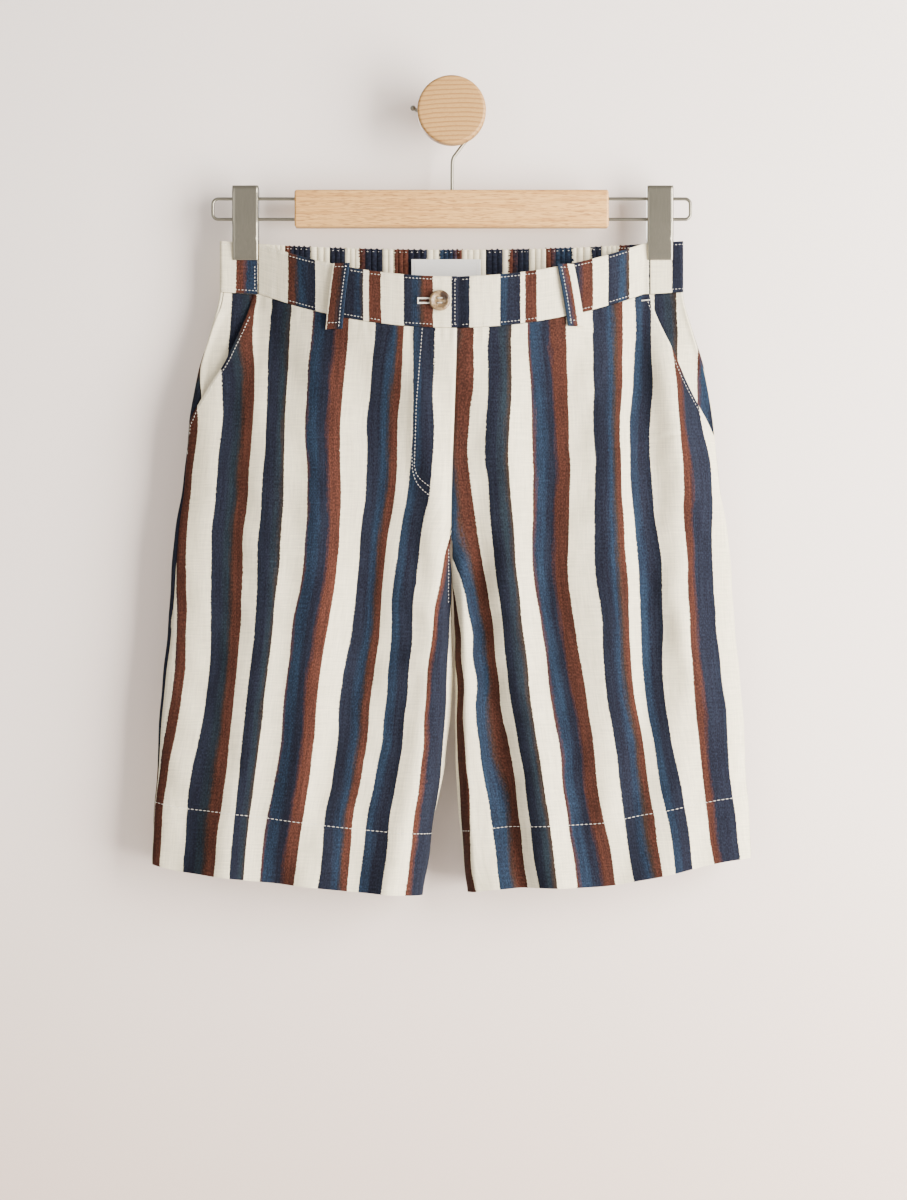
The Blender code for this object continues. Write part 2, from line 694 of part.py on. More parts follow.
def make_hook(group):
    """Wire hook: a shank, a neck that leans to the right, a bend over the peg and a turned out tip."""
    neck = [(HOOK_SHANK_X, BAR_TOP + SEAM_GAP), (HOOK_SHANK_X, -41.0), (HOOK_SHANK_X + 0.4, -37.4),
            (HOOK_SHANK_X + 2.2, -34.0), (9.4, -25.0), (14.6, -19.6)]
    bend = []
    first, last, steps = -30.0, 152.0, 22
    for step in range(steps + 1):
        angle = math.radians(mix(first, last, step / steps))
        bend.append((HOOK_CENTRE[0] + HOOK_BEND * math.cos(angle),
                     HOOK_CENTRE[1] + HOOK_BEND * math.sin(angle)))
    tip = [(-22.8, 1.3), (-25.2, 0.2), (-28.0, 0.9), (-30.4, 2.8), (-32.2, 4.8)]
    tube("hanger_hook", neck + bend + tip, HOOK_RADIUS, "satin_nickel", group)


def jaw_outline(sign):
    """Plate of a jaw in (depth, height), from its top down the outside and up the inside."""
    outside = ((6.6, -59.5), (7.6, -62.0), (7.4, -90.0), (JAW_GRIP + CLIP_SHEET, -118.4),
               (JAW_GRIP + 0.6, -120.4))
    inside = ((JAW_GRIP, -120.2), (JAW_GRIP, -117.6), (6.2, -90.0), (6.4, -62.6), (5.6, -60.6))
    return [(CLIP_PLANE + sign * depth, height) for depth, height in outside + inside]


def flange_outline():
    """Side of the folded front jaw in (depth, height), reaching back past the rails."""
    points = ((-6.6, -59.5), (-7.6, -62.0), (-7.4, -90.0), (-JAW_GRIP - CLIP_SHEET, -118.4),
              (-JAW_GRIP - 0.6, -120.4), (-JAW_GRIP, -120.2), (-JAW_GRIP, -104.0), (4.2, -100.5),
              (5.8, -91.0), (5.8, -64.0), (3.4, -61.0))
    return [(CLIP_PLANE + depth, height) for depth, height in points]


def make_clips(group, cutters):
    """The two clips, each with its jaws and spring."""
    half = CLIP_WIDTH / 2.0
    for side, x in CLIP_PLACES:
        front = prism("clip_%s_front_jaw" % side, flange_outline(), x - half, x + half,
                      "satin_nickel", group)
        room = [(CLIP_PLANE + depth, height) for depth, height in (
            (-6.4, -50.0), (-6.4, -62.6), (-6.2, -90.0), (-JAW_GRIP, -117.6), (-JAW_GRIP, -130.0),
            (15.0, -130.0), (15.0, -50.0))]
        cut(front, prism("clip_room_cutter", room, x - half + CLIP_SHEET, x + half - CLIP_SHEET,
                         "satin_nickel", cutters))
        for height in RAIL_HEIGHTS:
            cut(front, cylinder("rail_hole_cutter", WIRE_RADIUS + SEAM_GAP, CLIP_WIDTH + 10.0,
                                (x, CLIP_PLANE, height), "satin_nickel", cutters))
        prism("clip_%s_back_jaw" % side, jaw_outline(1.0), x - half, x + half, "satin_nickel", group)
        cylinder("clip_%s_spring" % side, SPRING_RADIUS, CLIP_WIDTH - 2.0 * (CLIP_SHEET + SEAM_GAP),
                 (x, CLIP_PLANE, SPRING_HEIGHT), "satin_nickel", group)


def make_peg(group):
    """Turned wooden wall peg: a round disc on a stem with a flat back."""
    neck = PEG_PROJECTION - PEG_DISC_THICK
    profile = [(0.0, PEG_PROJECTION)]
    for step in range(4):
        angle = math.pi / 2.0 * (1.0 - step / 3.0)
        profile.append((PEG_DISC_RADIUS - PEG_ROUND + PEG_ROUND * math.cos(angle),
                        PEG_PROJECTION - PEG_ROUND + PEG_ROUND * math.sin(angle)))
    profile += [(PEG_DISC_RADIUS, neck + PEG_ROUND), (PEG_DISC_RADIUS - PEG_ROUND, neck),
                (PEG_STEM_RADIUS + 1.0, neck), (PEG_STEM_RADIUS, neck - 1.0), (PEG_STEM_RADIUS, 0.0),
                (0.0, 0.0)]
    peg = turned("wall_peg", profile, 32, "beech", group)
    peg.rotation_euler = (math.pi / 2.0, 0.0, 0.0)


def main():
    """Clear the scene and make the shorts, the hanger and the peg."""
    for old in list(bpy.data.objects):
        bpy.data.objects.remove(old, do_unlink=True)
    group = collection("bermuda_shorts_on_hanger")
    cutters = collection("cutters")
    for side in (RIGHT, LEFT):
        make_front(side, group)
        make_back(side, group)
        make_facing(side, group)
    make_front_bands(group)
    make_back_band(group)
    make_belt_loops(group)
    make_label(group)
    make_button(group, cutters)
    make_bar(group)
    make_rails(group)
    make_hook(group)
    make_clips(group, cutters)
    make_peg(group)


main()
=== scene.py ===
"""Striped linen bermuda shorts, hung by the waist from a wooden clip hanger on a round wall peg.

The wall is the plane Y = 0 and the origin is the middle of the peg's back. The shorts face -Y, +X is to
the right as seen from the front, and +Z is up. Sizes and places are in millimetres, and MM turns them
into metres where a mesh is made. The wearer's right side is the one at -X.
"""

from __future__ import annotations

import logging
import math
from dataclasses import dataclass, field
from enum import Enum
from typing import NamedTuple, Sequence

import bpy
import numpy as np
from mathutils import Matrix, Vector

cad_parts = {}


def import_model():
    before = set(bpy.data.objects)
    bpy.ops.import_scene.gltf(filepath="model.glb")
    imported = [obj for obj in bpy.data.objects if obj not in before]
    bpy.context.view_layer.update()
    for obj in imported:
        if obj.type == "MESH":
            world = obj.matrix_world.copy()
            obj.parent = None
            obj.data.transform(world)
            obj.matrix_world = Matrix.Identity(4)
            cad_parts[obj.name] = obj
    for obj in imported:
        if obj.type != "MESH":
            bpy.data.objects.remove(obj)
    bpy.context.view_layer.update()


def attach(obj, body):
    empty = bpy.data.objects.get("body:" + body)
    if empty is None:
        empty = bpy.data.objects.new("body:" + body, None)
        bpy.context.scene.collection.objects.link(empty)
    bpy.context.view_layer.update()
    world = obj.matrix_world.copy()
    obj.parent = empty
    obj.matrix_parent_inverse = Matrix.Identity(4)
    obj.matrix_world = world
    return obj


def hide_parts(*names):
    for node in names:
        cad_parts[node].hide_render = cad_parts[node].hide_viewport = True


log = logging.getLogger("shorts")

MM = 0.001

Array = np.ndarray
Piece = bpy.types.Object
Material = bpy.types.Material
Socket = bpy.types.NodeSocket
Triple = tuple[float, float, float]
Pair = tuple[float, float]


class Side(Enum):
    """The wearer's sides, as signs of X."""

    RIGHT = -1
    LEFT = 1

    @property
    def word(self) -> str:
        """Name of the side, as the tables and nodes give it."""
        return self.name.lower()


class Face(Enum):
    """The two panels of a leg."""

    FRONT = "front"
    BACK = "back"


# Tables of the cloth's shape

class Silhouette(NamedTuple):
    """Half the outer width of the shorts at a height."""

    height: float
    half_width: float


class InsideEdge(NamedTuple):
    """Inner edge of each leg: the fly line above the crotch and the inside leg below it."""

    height: float
    right: float
    left: float


class Depth(NamedTuple):
    """Middle plane of the cloth, and how far each face stands from it over the body and over a leg."""

    height: float
    middle: float
    body_front: float
    body_back: float
    leg_front: float
    leg_back: float


class Hem(NamedTuple):
    """Height of the hem, by the share of the way from the outer fold to the inside leg."""

    share: float
    right: float
    left: float


class Pocket(NamedTuple):
    """Distance of a pocket's mouth from the centre line."""

    height: float
    right: float
    left: float


class SideSeam(NamedTuple):
    """Turn at which the side seam lies on the front, by the share of the drop to the hem."""

    drop: float
    right: float
    left: float


class Loop(NamedTuple):
    """Where the middle of each end of a front belt loop lies."""

    node: str
    top_x: float
    top_height: float
    foot_x: float
    foot_height: float


class Lean(NamedTuple):
    """How far the print of a leg leans aside at a height, at each of LEAN_MARKS from the centre line."""

    height: float
    shifts: tuple[float, ...]


class Fold(NamedTuple):
    """Soft ridge down a leg, or trough where its rise is negative.

    It runs from its top to its foot, and high, middle and low are its distances from the centre line at
    the three FOLD_HEIGHTS.
    """

    top: float
    foot: float
    high: float
    middle: float
    low: float
    width: float
    rise: float


def listed(kind: type[NamedTuple], *rows: tuple) -> tuple:
    """Rows of a table, each made one of a kind.

    Args:
        kind: kind of the rows.
        rows: plain values of each row.

    Returns:
        The table.
    """
    return tuple(kind(*row) for row in rows)


SILHOUETTE = listed(
    Silhouette, (-100.0, 190.3), (-146.0, 190.3), (-160.0, 192.8), (-178.0, 198.2), (-208.0, 207.0),
    (-245.0, 213.5), (-292.0, 218.5), (-342.0, 226.0), (-383.0, 229.8), (-428.0, 233.0), (-481.0, 238.0),
    (-551.0, 242.2), (-588.0, 244.5), (-645.0, 245.4))

INSIDE_EDGE = listed(
    InsideEdge, (-140.0, 4.3, 4.6), (-180.0, 4.3, 4.6), (-235.0, 2.7, 3.0), (-300.0, 0.3, 0.6),
    (-354.0, -0.4, -0.1), (-402.0, 0.7, 1.2), (-432.0, 1.0, 2.3), (-463.0, 1.2, 2.7), (-485.0, 0.2, 2.8),
    (-525.0, -4.5, 3.0), (-544.0, -6.6, 3.4), (-560.0, -10.3, 4.3), (-577.0, -14.4, 6.4),
    (-601.0, -17.1, 8.9), (-645.0, -23.9, 12.8))

DEPTH = listed(
    Depth, (-100.0, -22.0, 24.0, 12.0, 18.0, 15.0), (-150.0, -22.0, 24.0, 13.0, 18.0, 15.0),
    (-200.0, -24.5, 24.0, 15.5, 18.0, 15.0), (-260.0, -27.0, 23.5, 18.0, 18.0, 16.0),
    (-340.0, -27.0, 22.0, 19.0, 18.0, 17.0), (-402.0, -27.0, 20.0, 18.5, 18.5, 17.5),
    (-480.0, -27.0, 20.0, 18.5, 19.5, 18.0), (-560.0, -27.0, 20.0, 18.5, 21.0, 18.5),
    (-645.0, -27.0, 20.0, 18.5, 22.0, 19.0))

HEM = listed(
    Hem, (0.0, -615.0, -609.5), (0.1, -620.0, -612.3), (0.2, -622.5, -617.0), (0.3, -625.0, -622.2),
    (0.4, -627.7, -626.8), (0.5, -630.0, -631.0), (0.6, -632.5, -632.3), (0.75, -636.0, -632.6),
    (0.9, -638.5, -634.5), (1.0, -640.0, -637.6))

POCKET = listed(
    Pocket, (-140.0, 160.0, 160.0), (-148.0, 162.0, 162.0), (-162.0, 166.5, 166.5),
    (-180.0, 174.0, 174.0), (-196.5, 181.3, 181.3), (-208.0, 187.0, 186.0), (-221.0, 195.5, 191.0),
    (-235.0, 204.2, 198.0), (-251.0, 212.5, 206.8), (-266.0, 217.5, 215.3))

SIDE_SEAM = listed(
    SideSeam, (0.0, 0.24, 0.05), (0.03, 0.22, 0.05), (0.06, 0.12, 0.04), (0.12, 0.07, 0.04),
    (0.155, 0.22, 0.04), (0.187, 0.34, 0.04), (0.205, 0.25, 0.04), (0.224, 0.13, 0.03),
    (0.245, 0.07, 0.03), (0.29, 0.08, 0.03), (0.36, 0.18, 0.03), (0.47, 0.24, 0.03), (0.7, 0.20, 0.03),
    (0.8, 0.16, 0.03), (0.9, 0.07, 0.03), (1.0, 0.05, 0.03))

FRONT_LOOPS = listed(
    Loop, ("belt_loop_front_right", -89.0, -125.6, -95.2, -179.1),
    ("belt_loop_front_left", 92.2, -126.2, 101.0, -176.8))

LEAN_MARKS = (4.0, 16.0, 30.0, 48.0, 70.0, 97.0, 125.0, 152.0, 180.0, 208.0)
LEAN = {
    Side.RIGHT: listed(
        Lean,
        (-150.0, (26.7, 20.8, 21.5, 27.8, 22.3, 20.1, 18.1, 13.3, 9.4, 9.5)),
        (-186.0, (24.6, 19.7, 20.4, 26.7, 21.2, 19.0, 17.0, 12.2, 8.3, 8.4)),
        (-218.0, (24.7, 19.4, 22.2, 22.5, 20.2, 16.7, 15.4, 13.2, 14.4, 11.2)),
        (-251.0, (24.3, 20.6, 22.3, 19.4, 17.2, 14.2, 14.2, 13.9, 15.5, 16.0)),
        (-284.0, (24.4, 21.2, 21.0, 19.5, 18.1, 14.9, 15.7, 12.9, 12.6, 12.2)),
        (-317.0, (24.5, 17.8, 15.6, 17.2, 16.9, 15.4, 16.1, 11.3, 9.4, 9.2)),
        (-350.0, (18.4, 11.3, 9.8, 10.7, 11.9, 14.3, 13.9, 8.7, 6.8, 6.8)),
        (-383.0, (9.8, 8.0, 6.3, 6.3, 10.7, 11.1, 9.8, 7.7, 6.2, 7.4)),
        (-416.0, (2.9, 4.2, 4.7, 5.1, 8.8, 5.6, 3.2, 6.5, 5.5, 7.5)),
        (-448.0, (-1.8, -0.3, 3.1, 3.9, 3.4, 0.7, -1.4, 3.2, 4.9, 6.2)),
        (-481.0, (-2.9, -3.9, -0.6, 1.2, -1.4, -4.1, -4.1, -2.0, 0.1, 3.3)),
        (-514.0, (-3.5, -4.5, -6.0, -2.9, -4.6, -5.9, -6.4, -5.8, -3.5, -2.9)),
        (-546.0, (-5.4, -5.4, -9.7, -10.3, -10.4, -10.2, -10.7, -10.8, -6.1, -9.0)),
        (-579.0, (-8.4, -8.4, -13.5, -15.9, -17.1, -17.0, -15.9, -17.1, -9.8, -14.0)),
        (-604.0, (-9.9, -9.9, -15.5, -17.7, -19.9, -18.5, -19.7, -20.9, -11.9, -16.2)),
        (-645.0, (-15.1, -15.1, -17.3, -20.1, -23.7, -20.8, -24.5, -25.8, -15.7, -19.6))),
    Side.LEFT: listed(
        Lean,
        (-150.0, (-28.6, -25.3, -22.8, -20.8, -27.6, -20.8, -13.5, -9.6, -18.7, -17.0)),
        (-186.0, (-28.6, -25.3, -22.8, -20.8, -27.6, -20.8, -13.5, -9.5, -18.5, -16.8)),
        (-218.0, (-31.1, -24.9, -23.1, -20.9, -22.5, -21.9, -14.3, -13.1, -15.0, -18.4)),
        (-251.0, (-33.5, -29.5, -25.4, -23.2, -21.0, -20.8, -15.5, -18.5, -15.0, -17.6)),
        (-284.0, (-34.1, -31.5, -26.2, -25.3, -20.6, -19.9, -15.2, -21.0, -14.8, -9.4)),
        (-317.0, (-31.5, -28.6, -25.1, -24.2, -22.0, -20.6, -15.3, -18.4, -13.8, -8.0)),
        (-350.0, (-30.5, -24.8, -22.8, -20.5, -22.9, -21.6, -15.5, -14.9, -10.7, -11.1)),
        (-383.0, (-22.3, -22.4, -20.3, -17.0, -21.7, -21.1, -13.6, -13.1, -8.9, -10.2)),
        (-416.0, (-10.8, -13.7, -13.2, -14.3, -14.7, -18.7, -10.2, -11.6, -9.9, -5.8)),
        (-448.0, (-5.2, -9.2, -8.0, -11.4, -9.2, -13.6, -9.6, -9.7, -10.7, -3.5)),
        (-481.0, (-3.9, -8.3, -7.7, -6.4, -6.3, -5.7, -6.9, -5.4, -9.4, -1.5)),
        (-514.0, (-4.9, -5.3, -6.7, 0.7, -2.3, 0.1, -1.3, 1.1, -3.9, -0.8)),
        (-546.0, (-2.8, -2.6, -2.8, 5.2, 3.0, 1.6, 1.8, 4.6, 3.9, 1.6)),
        (-579.0, (-2.6, -2.1, 1.2, 7.1, 8.8, 7.3, 7.9, 6.9, 10.6, 5.0)),
        (-604.0, (-2.2, -1.6, 4.7, 7.9, 12.5, 11.7, 13.4, 10.0, 14.4, 9.2)),
        (-645.0, (2.4, 2.6, 11.8, 12.8, 18.1, 15.5, 20.2, 19.6, 18.8, 16.6)))}

FOLD_HEIGHTS = (-235.0, -399.0, -563.0)
HEM_FOOT = -800.0
FOLDS = {
    Side.RIGHT: listed(
        Fold, (-190.0, HEM_FOOT, 178.0, 186.0, 206.0, 17.0, -3.8),
        (-240.0, HEM_FOOT, 150.0, 150.0, 172.0, 17.0, 3.6),
        (-150.0, HEM_FOOT, 109.0, 112.0, 124.0, 16.0, 4.4),
        (-180.0, HEM_FOOT, 67.0, 70.0, 110.0, 16.0, -4.2),
        (-180.0, HEM_FOOT, 26.0, 13.0, 33.0, 13.0, 5.2)),
    Side.LEFT: listed(
        Fold, (-340.0, HEM_FOOT, 10.0, 8.0, 11.0, 8.0, 4.2),
        (-320.0, HEM_FOOT, 18.0, 24.0, 45.0, 11.0, -7.6), (-190.0, HEM_FOOT, 37.0, 49.0, 71.0, 15.0, 5.6),
        (-170.0, HEM_FOOT, 77.0, 81.0, 103.0, 17.0, -3.8),
        (-150.0, HEM_FOOT, 126.0, 130.0, 122.0, 19.0, 4.0),
        (-150.0, -640.0, 153.0, 161.0, 150.0, 15.0, -4.0),
        (-160.0, HEM_FOOT, 178.0, 190.0, 187.0, 16.0, 4.2),
        (-165.0, -370.0, 179.0, 215.0, 251.0, 11.0, 3.4),
        (-355.0, -530.0, 133.0, 180.0, 227.0, 12.0, 4.4))}

FLY_ROWS = (
    ((-23.5, -178.5), (-28.4, -240.7), (-30.1, -290.0), (-29.0, -295.5), (-26.6, -299.8), (-22.6, -303.6),
     (-17.8, -307.2)),
    ((-32.6, -268.0), (-31.8, -292.0), (-30.2, -299.4), (-27.6, -305.0), (-23.2, -310.0),
     (-17.8, -314.5)))
CROTCH_ROW = ((-2.4, -357.0), (-2.6, -402.0))
RIGHT_BARS = (((-216.8, -275.2), (-215.6, -279.4)),)
LEFT_BARS = (((155.9, -153.6), (163.8, -152.7)),)

# Numbers

def mix(start: Array | float, end: Array | float, share: Array | float) -> Array | float:
    """Value that lies a share of the way from start to end."""
    return start + (end - start) * share


def ease(start: float, end: float, value: Array | float) -> Array | float:
    """0 at start and 1 at end, with a smooth rise between them."""
    share = np.clip((value - start) / (end - start), 0.0, 1.0)
    return share * share * (3.0 - 2.0 * share)


def hump(value: Array | float, width: float) -> Array | float:
    """1 where value is 0, falling smoothly to nothing at about twice the width."""
    return np.exp(-(value / width) ** 2)


def read(table: Sequence[NamedTuple], column: str, key: Array | float) -> Array:
    """Named column of a table at each key, on a smooth curve through its rows.

    Args:
        table: rows whose first field is the key.
        column: name of the field to read.
        key: keys to read it at.

    Returns:
        The values, in the shape of key.
    """
    rows = sorted(table)
    keys = np.array([row[0] for row in rows])
    return curve(keys, np.array([getattr(row, column) for row in rows]), key)


def curve(keys: Array, values: Array, key: Array | float) -> Array:
    """Values on a smooth curve through points.

    Args:
        keys: keys of the curve's points, rising.
        values: their values, each of which may be a row of numbers.
        key: keys to read it at.

    Returns:
        The values.
    """
    key = np.clip(key, keys[0], keys[-1])
    at = np.clip(np.searchsorted(keys, key, side="right") - 1, 0, len(keys) - 2)
    before = np.maximum(at - 1, 0)
    after = np.minimum(at + 2, len(keys) - 1)
    span = keys[at + 1] - keys[at]
    slope_in = (values[at + 1] - values[before]) / (keys[at + 1] - keys[before]) * span
    slope_out = (values[after] - values[at]) / (keys[after] - keys[at]) * span
    share = (key - keys[at]) / span
    square, cube = share ** 2, share ** 3
    return (values[at] * (2 * cube - 3 * square + 1) + slope_in * (cube - 2 * square + share)
            + values[at + 1] * (3 * square - 2 * cube) + slope_out * (cube - square))


def unit(vectors: Array) -> Array:
    """Vectors of length 1 along the given ones."""
    return vectors / np.maximum(np.linalg.norm(vectors, axis=-1, keepdims=True), 1e-9)


def distances(points: Array) -> Array:
    """Distance of each point from the first one of its row, measured along the row."""
    steps = np.linalg.norm(np.diff(points, axis=-2), axis=-1)
    return np.concatenate((np.zeros((*steps.shape[:-1], 1)), np.cumsum(steps, axis=-1)), axis=-1)


def forwards(count: int) -> Array:
    """A number of unit vectors out of the front."""
    return np.tile((0.0, -1.0, 0.0), (count, 1))


def grid_normals(points: Array) -> Array:
    """Unit normals of a grid of points, from the steps along its rows and columns."""
    down, across = np.gradient(points, axis=(0, 1))
    return unit(np.cross(across, down))


def waves(across: Array, down: Array, table: Sequence[Triple]) -> Array:
    """Sum of plain waves, of height 1 at most.

    Args:
        across: places across the cloth.
        down: places down the cloth.
        table: (wave length across, wave length down, phase) of each wave.

    Returns:
        The sum, divided by the number of waves.
    """
    total = 0.0
    for width, length, phase in table:
        total = total + np.sin(2.0 * math.pi * (across / width + down / length) + phase)
    return total / len(table)


CRUMPLE = ((61.0, -143.0, 0.4), (-47.0, -97.0, 1.9), (83.0, 71.0, 3.3), (29.0, -61.0, 5.1),
           (-37.0, 53.0, 2.6), (113.0, -41.0, 0.9))
BROAD = ((141.0, -393.0, 1.1), (-97.0, -527.0, 4.0), (173.0, 211.0, 2.3), (-71.0, 307.0, 0.2))


# Meshes

def deselect() -> None:
    """Leave nothing selected."""
    bpy.ops.object.select_all(action="DESELECT")


def use(piece: Piece) -> Piece:
    """Select one object alone and make it active.

    Args:
        piece: object to select.

    Returns:
        The same object.
    """
    deselect()
    piece.select_set(True)
    bpy.context.view_layer.objects.active = piece
    return piece


def named(name: str) -> Piece:
    """Give the object that was just added its name."""
    piece = bpy.context.object
    piece.name = name
    piece.data.name = name
    return piece


def apply_modifiers(piece: Piece) -> None:
    """Apply every modifier of a piece, in order."""
    use(piece)
    for modifier in list(piece.modifiers):
        bpy.ops.object.modifier_apply(modifier=modifier.name)


def bevel(piece: Piece, width: float, segments: int = 2, angle: float = 50.0) -> None:
    """Round a piece's edges that are sharper than an angle.

    Args:
        piece: mesh object.
        width: width of the rounding.
        segments: number of faces across it.
        angle: least angle of an edge that is rounded, in degrees.
    """
    modifier = piece.modifiers.new("Round", "BEVEL")
    modifier.width = width * MM
    modifier.segments = segments
    modifier.limit_method = "ANGLE"
    modifier.angle_limit = math.radians(angle)
    modifier.use_clamp_overlap = True
    apply_modifiers(piece)


def smooth(piece: Piece, angle: float = 40.0) -> None:
    """Shade a piece smooth, apart from edges sharper than an angle in degrees."""
    use(piece)
    bpy.ops.object.shade_smooth_by_angle(angle=math.radians(angle))


def settle(piece: Piece) -> None:
    """Put a piece's place into its mesh, so that its object sits at the origin, unturned."""
    use(piece)
    bpy.ops.object.transform_apply(location=True, rotation=True, scale=True)


def recalculate(piece: Piece, weld: float = 0.002) -> None:
    """Turn every face of a closed piece outwards.

    Args:
        piece: mesh object.
        weld: distance within which its points are made one, or 0 to leave them.
    """
    use(piece)
    bpy.ops.object.mode_set(mode="EDIT")
    bpy.ops.mesh.select_all(action="SELECT")
    if weld:
        bpy.ops.mesh.remove_doubles(threshold=weld * MM)
    bpy.ops.mesh.normals_make_consistent(inside=False)
    bpy.ops.object.mode_set(mode="OBJECT")


def sheet_from_grid(name: str, points: Array, pattern: Array, thickness: float, outward: float,
                    share: Array | None = None, round_off: float = 0.35) -> Piece:
    """Cloth from a grid primitive moved to points, thickened inwards with round edges.

    Args:
        name: name of the piece.
        points: (rows, columns, 3) places of the outer face.
        pattern: (rows, columns, 2) places on the flat cloth, for its stripes and weave.
        thickness: greatest thickness of the cloth.
        outward: 1 where the way across crossed with the way down points out of the cloth, else -1.
        share: (rows, columns) share of that thickness, or None for all of it.
        round_off: width of the rounding along the cut edges.

    Returns:
        The finished mesh object.
    """
    rows, columns = points.shape[0] - 1, points.shape[1] - 1
    deselect()
    bpy.ops.mesh.primitive_grid_add(x_subdivisions=columns, y_subdivisions=rows, size=1.0)
    piece = named(name)
    mesh = piece.data
    places = np.empty(len(mesh.vertices) * 3)
    mesh.vertices.foreach_get("co", places)
    places = places.reshape(-1, 3)
    column = np.rint((places[:, 0] + 0.5) * columns).astype(int)
    row = np.rint((0.5 - places[:, 1]) * rows).astype(int)
    mesh.vertices.foreach_set("co", (points[row, column] * MM).ravel())
    corner = np.empty(len(mesh.loops), dtype=np.int32)
    mesh.loops.foreach_get("vertex_index", corner)
    uv = pattern[row[corner], column[corner]] * MM
    mesh.uv_layers[0].name = "Pattern"
    mesh.uv_layers[0].data.foreach_set("uv", uv.ravel())
    across = points[rows // 2, columns // 2 + 1] - points[rows // 2, columns // 2]
    down = points[rows // 2 + 1, columns // 2] - points[rows // 2, columns // 2]
    mesh.update()
    middle = mesh.polygons[(rows // 2) * columns + columns // 2].normal
    if middle.dot(Vector(np.cross(across, down))) * outward < 0.0:
        mesh.flip_normals()
    solidify = piece.modifiers.new("Thickness", "SOLIDIFY")
    solidify.thickness = thickness * MM
    solidify.offset = -1.0
    if share is not None:
        group = piece.vertex_groups.new(name="thickness")
        weights = share[row, column]
        for index, weight in enumerate(weights):
            group.add([index], float(weight), "REPLACE")
        solidify.vertex_group = group.name
    apply_modifiers(piece)
    piece.vertex_groups.clear()
    bevel(piece, round_off)
    smooth(piece, 60.0)
    return piece


def tube(name: str, points: Sequence[Sequence[float]], radius: float, sides: int = 12) -> Piece:
    """Round wire with closed ends through points.

    Args:
        name: name of the piece.
        points: places along the middle of the wire.
        radius: radius of the wire.
        sides: number of sides of its section.

    Returns:
        A mesh object.
    """
    deselect()
    bpy.ops.curve.primitive_nurbs_path_add()
    piece = bpy.context.object
    curve = piece.data
    curve.splines.clear()
    curve.bevel_depth = radius * MM
    curve.bevel_resolution = max((sides - 4) // 2, 1)
    curve.use_fill_caps = True
    spline = curve.splines.new("POLY")
    spline.points.add(len(points) - 1)
    for point, place in zip(spline.points, points):
        point.co = (*(Vector(place) * MM), 1.0)
    use(piece)
    bpy.ops.object.convert(target="MESH")
    piece = named(name)
    recalculate(piece)
    smooth(piece, 50.0)
    return piece


def turned(name: str, profile: Sequence[Pair], steps: int) -> Piece:
    """Turned piece about the Z axis: a disc extruded and resized from ring to ring.

    Args:
        name: name of the piece.
        profile: (radius, height) of each ring, from the middle of the foot to the middle of the top.
        steps: number of sides.

    Returns:
        A closed mesh object.
    """
    deselect()
    radius, height = profile[0]
    bpy.ops.mesh.primitive_circle_add(vertices=steps, radius=radius * MM, fill_type="NGON",
                                      location=(0.0, 0.0, height * MM))
    piece = named(name)
    bpy.ops.object.mode_set(mode="EDIT")
    bpy.ops.mesh.select_all(action="SELECT")
    for next_radius, next_height in profile[1:]:
        bpy.ops.mesh.extrude_region_move(
            TRANSFORM_OT_translate={"value": (0.0, 0.0, (next_height - height) * MM)})
        scale = next_radius / radius
        bpy.ops.transform.resize(value=(scale, scale, 1.0), center_override=(0.0, 0.0, next_height * MM))
        radius, height = next_radius, next_height
    bpy.ops.object.mode_set(mode="OBJECT")
    settle(piece)
    recalculate(piece)
    return piece


def join(name: str, pieces: Sequence[Piece]) -> Piece:
    """One object made of several, under a name.

    Args:
        name: name of the piece.
        pieces: objects to join.

    Returns:
        The joined object.
    """
    deselect()
    for piece in pieces:
        piece.select_set(True)
    bpy.context.view_layer.objects.active = pieces[0]
    if len(pieces) > 1:
        bpy.ops.object.join()
    return named(name)


def cut(piece: Piece, cutter: Piece) -> None:
    """Take a cutter's shape out of a piece and remove the cutter.

    Args:
        piece: closed mesh object.
        cutter: closed mesh object, which is removed.
    """
    boolean = piece.modifiers.new("Cut", "BOOLEAN")
    boolean.operation = "DIFFERENCE"
    boolean.solver = "EXACT"
    boolean.object = cutter
    apply_modifiers(piece)
    bpy.data.objects.remove(cutter, do_unlink=True)


def rod(name: str, radius: float, length: float, centre: Sequence[float], sides: int = 24,
        tilt: float = math.pi / 2.0) -> Piece:
    """Plain round rod, used for cutters and pins.

    Args:
        name: name of the piece.
        radius: its radius.
        length: its length.
        centre: its middle.
        sides: number of its sides.
        tilt: its turn about Y: 0 for along Z and a quarter turn for along X.

    Returns:
        A closed mesh object.
    """
    deselect()
    bpy.ops.mesh.primitive_cylinder_add(vertices=sides, radius=radius * MM, depth=length * MM,
                                        location=Vector(centre) * MM, rotation=(0.0, tilt, 0.0))
    piece = named(name)
    settle(piece)
    return piece


# Finishes

class Ink(Enum):
    """Prints of the cloth: where the print is full and where it is worn thin. One rust is a darker copy
    of RUST, as painted shade for the left leg.
    """

    CREAM = ((0.745, 0.672, 0.490), (0.785, 0.715, 0.532))
    NAVY = ((0.0064, 0.0070, 0.0138), (0.0111, 0.0143, 0.0250))
    BLUE = ((0.0086, 0.0126, 0.0248), (0.0136, 0.0264, 0.0480))
    TEAL = ((0.0092, 0.0117, 0.0178), (0.0131, 0.0216, 0.0292))
    BROWN = ((0.0158, 0.0114, 0.0095), (0.0306, 0.0190, 0.0140))
    RUST = ((0.0415, 0.0144, 0.0095), (0.0770, 0.0258, 0.0162))
    # painted shade: this rust is RUST made about a fifth darker, used on the left leg, which the key
    # light lights more strongly
    DEEP_RUST = ((0.0345, 0.0120, 0.0078), (0.0620, 0.0206, 0.0130))

CREAM, NAVY, BLUE, TEAL, BROWN, RUST, DEEP_RUST = Ink


class Stripe(NamedTuple):
    """One stretch of colour across the cloth."""

    width: float
    ink: Ink


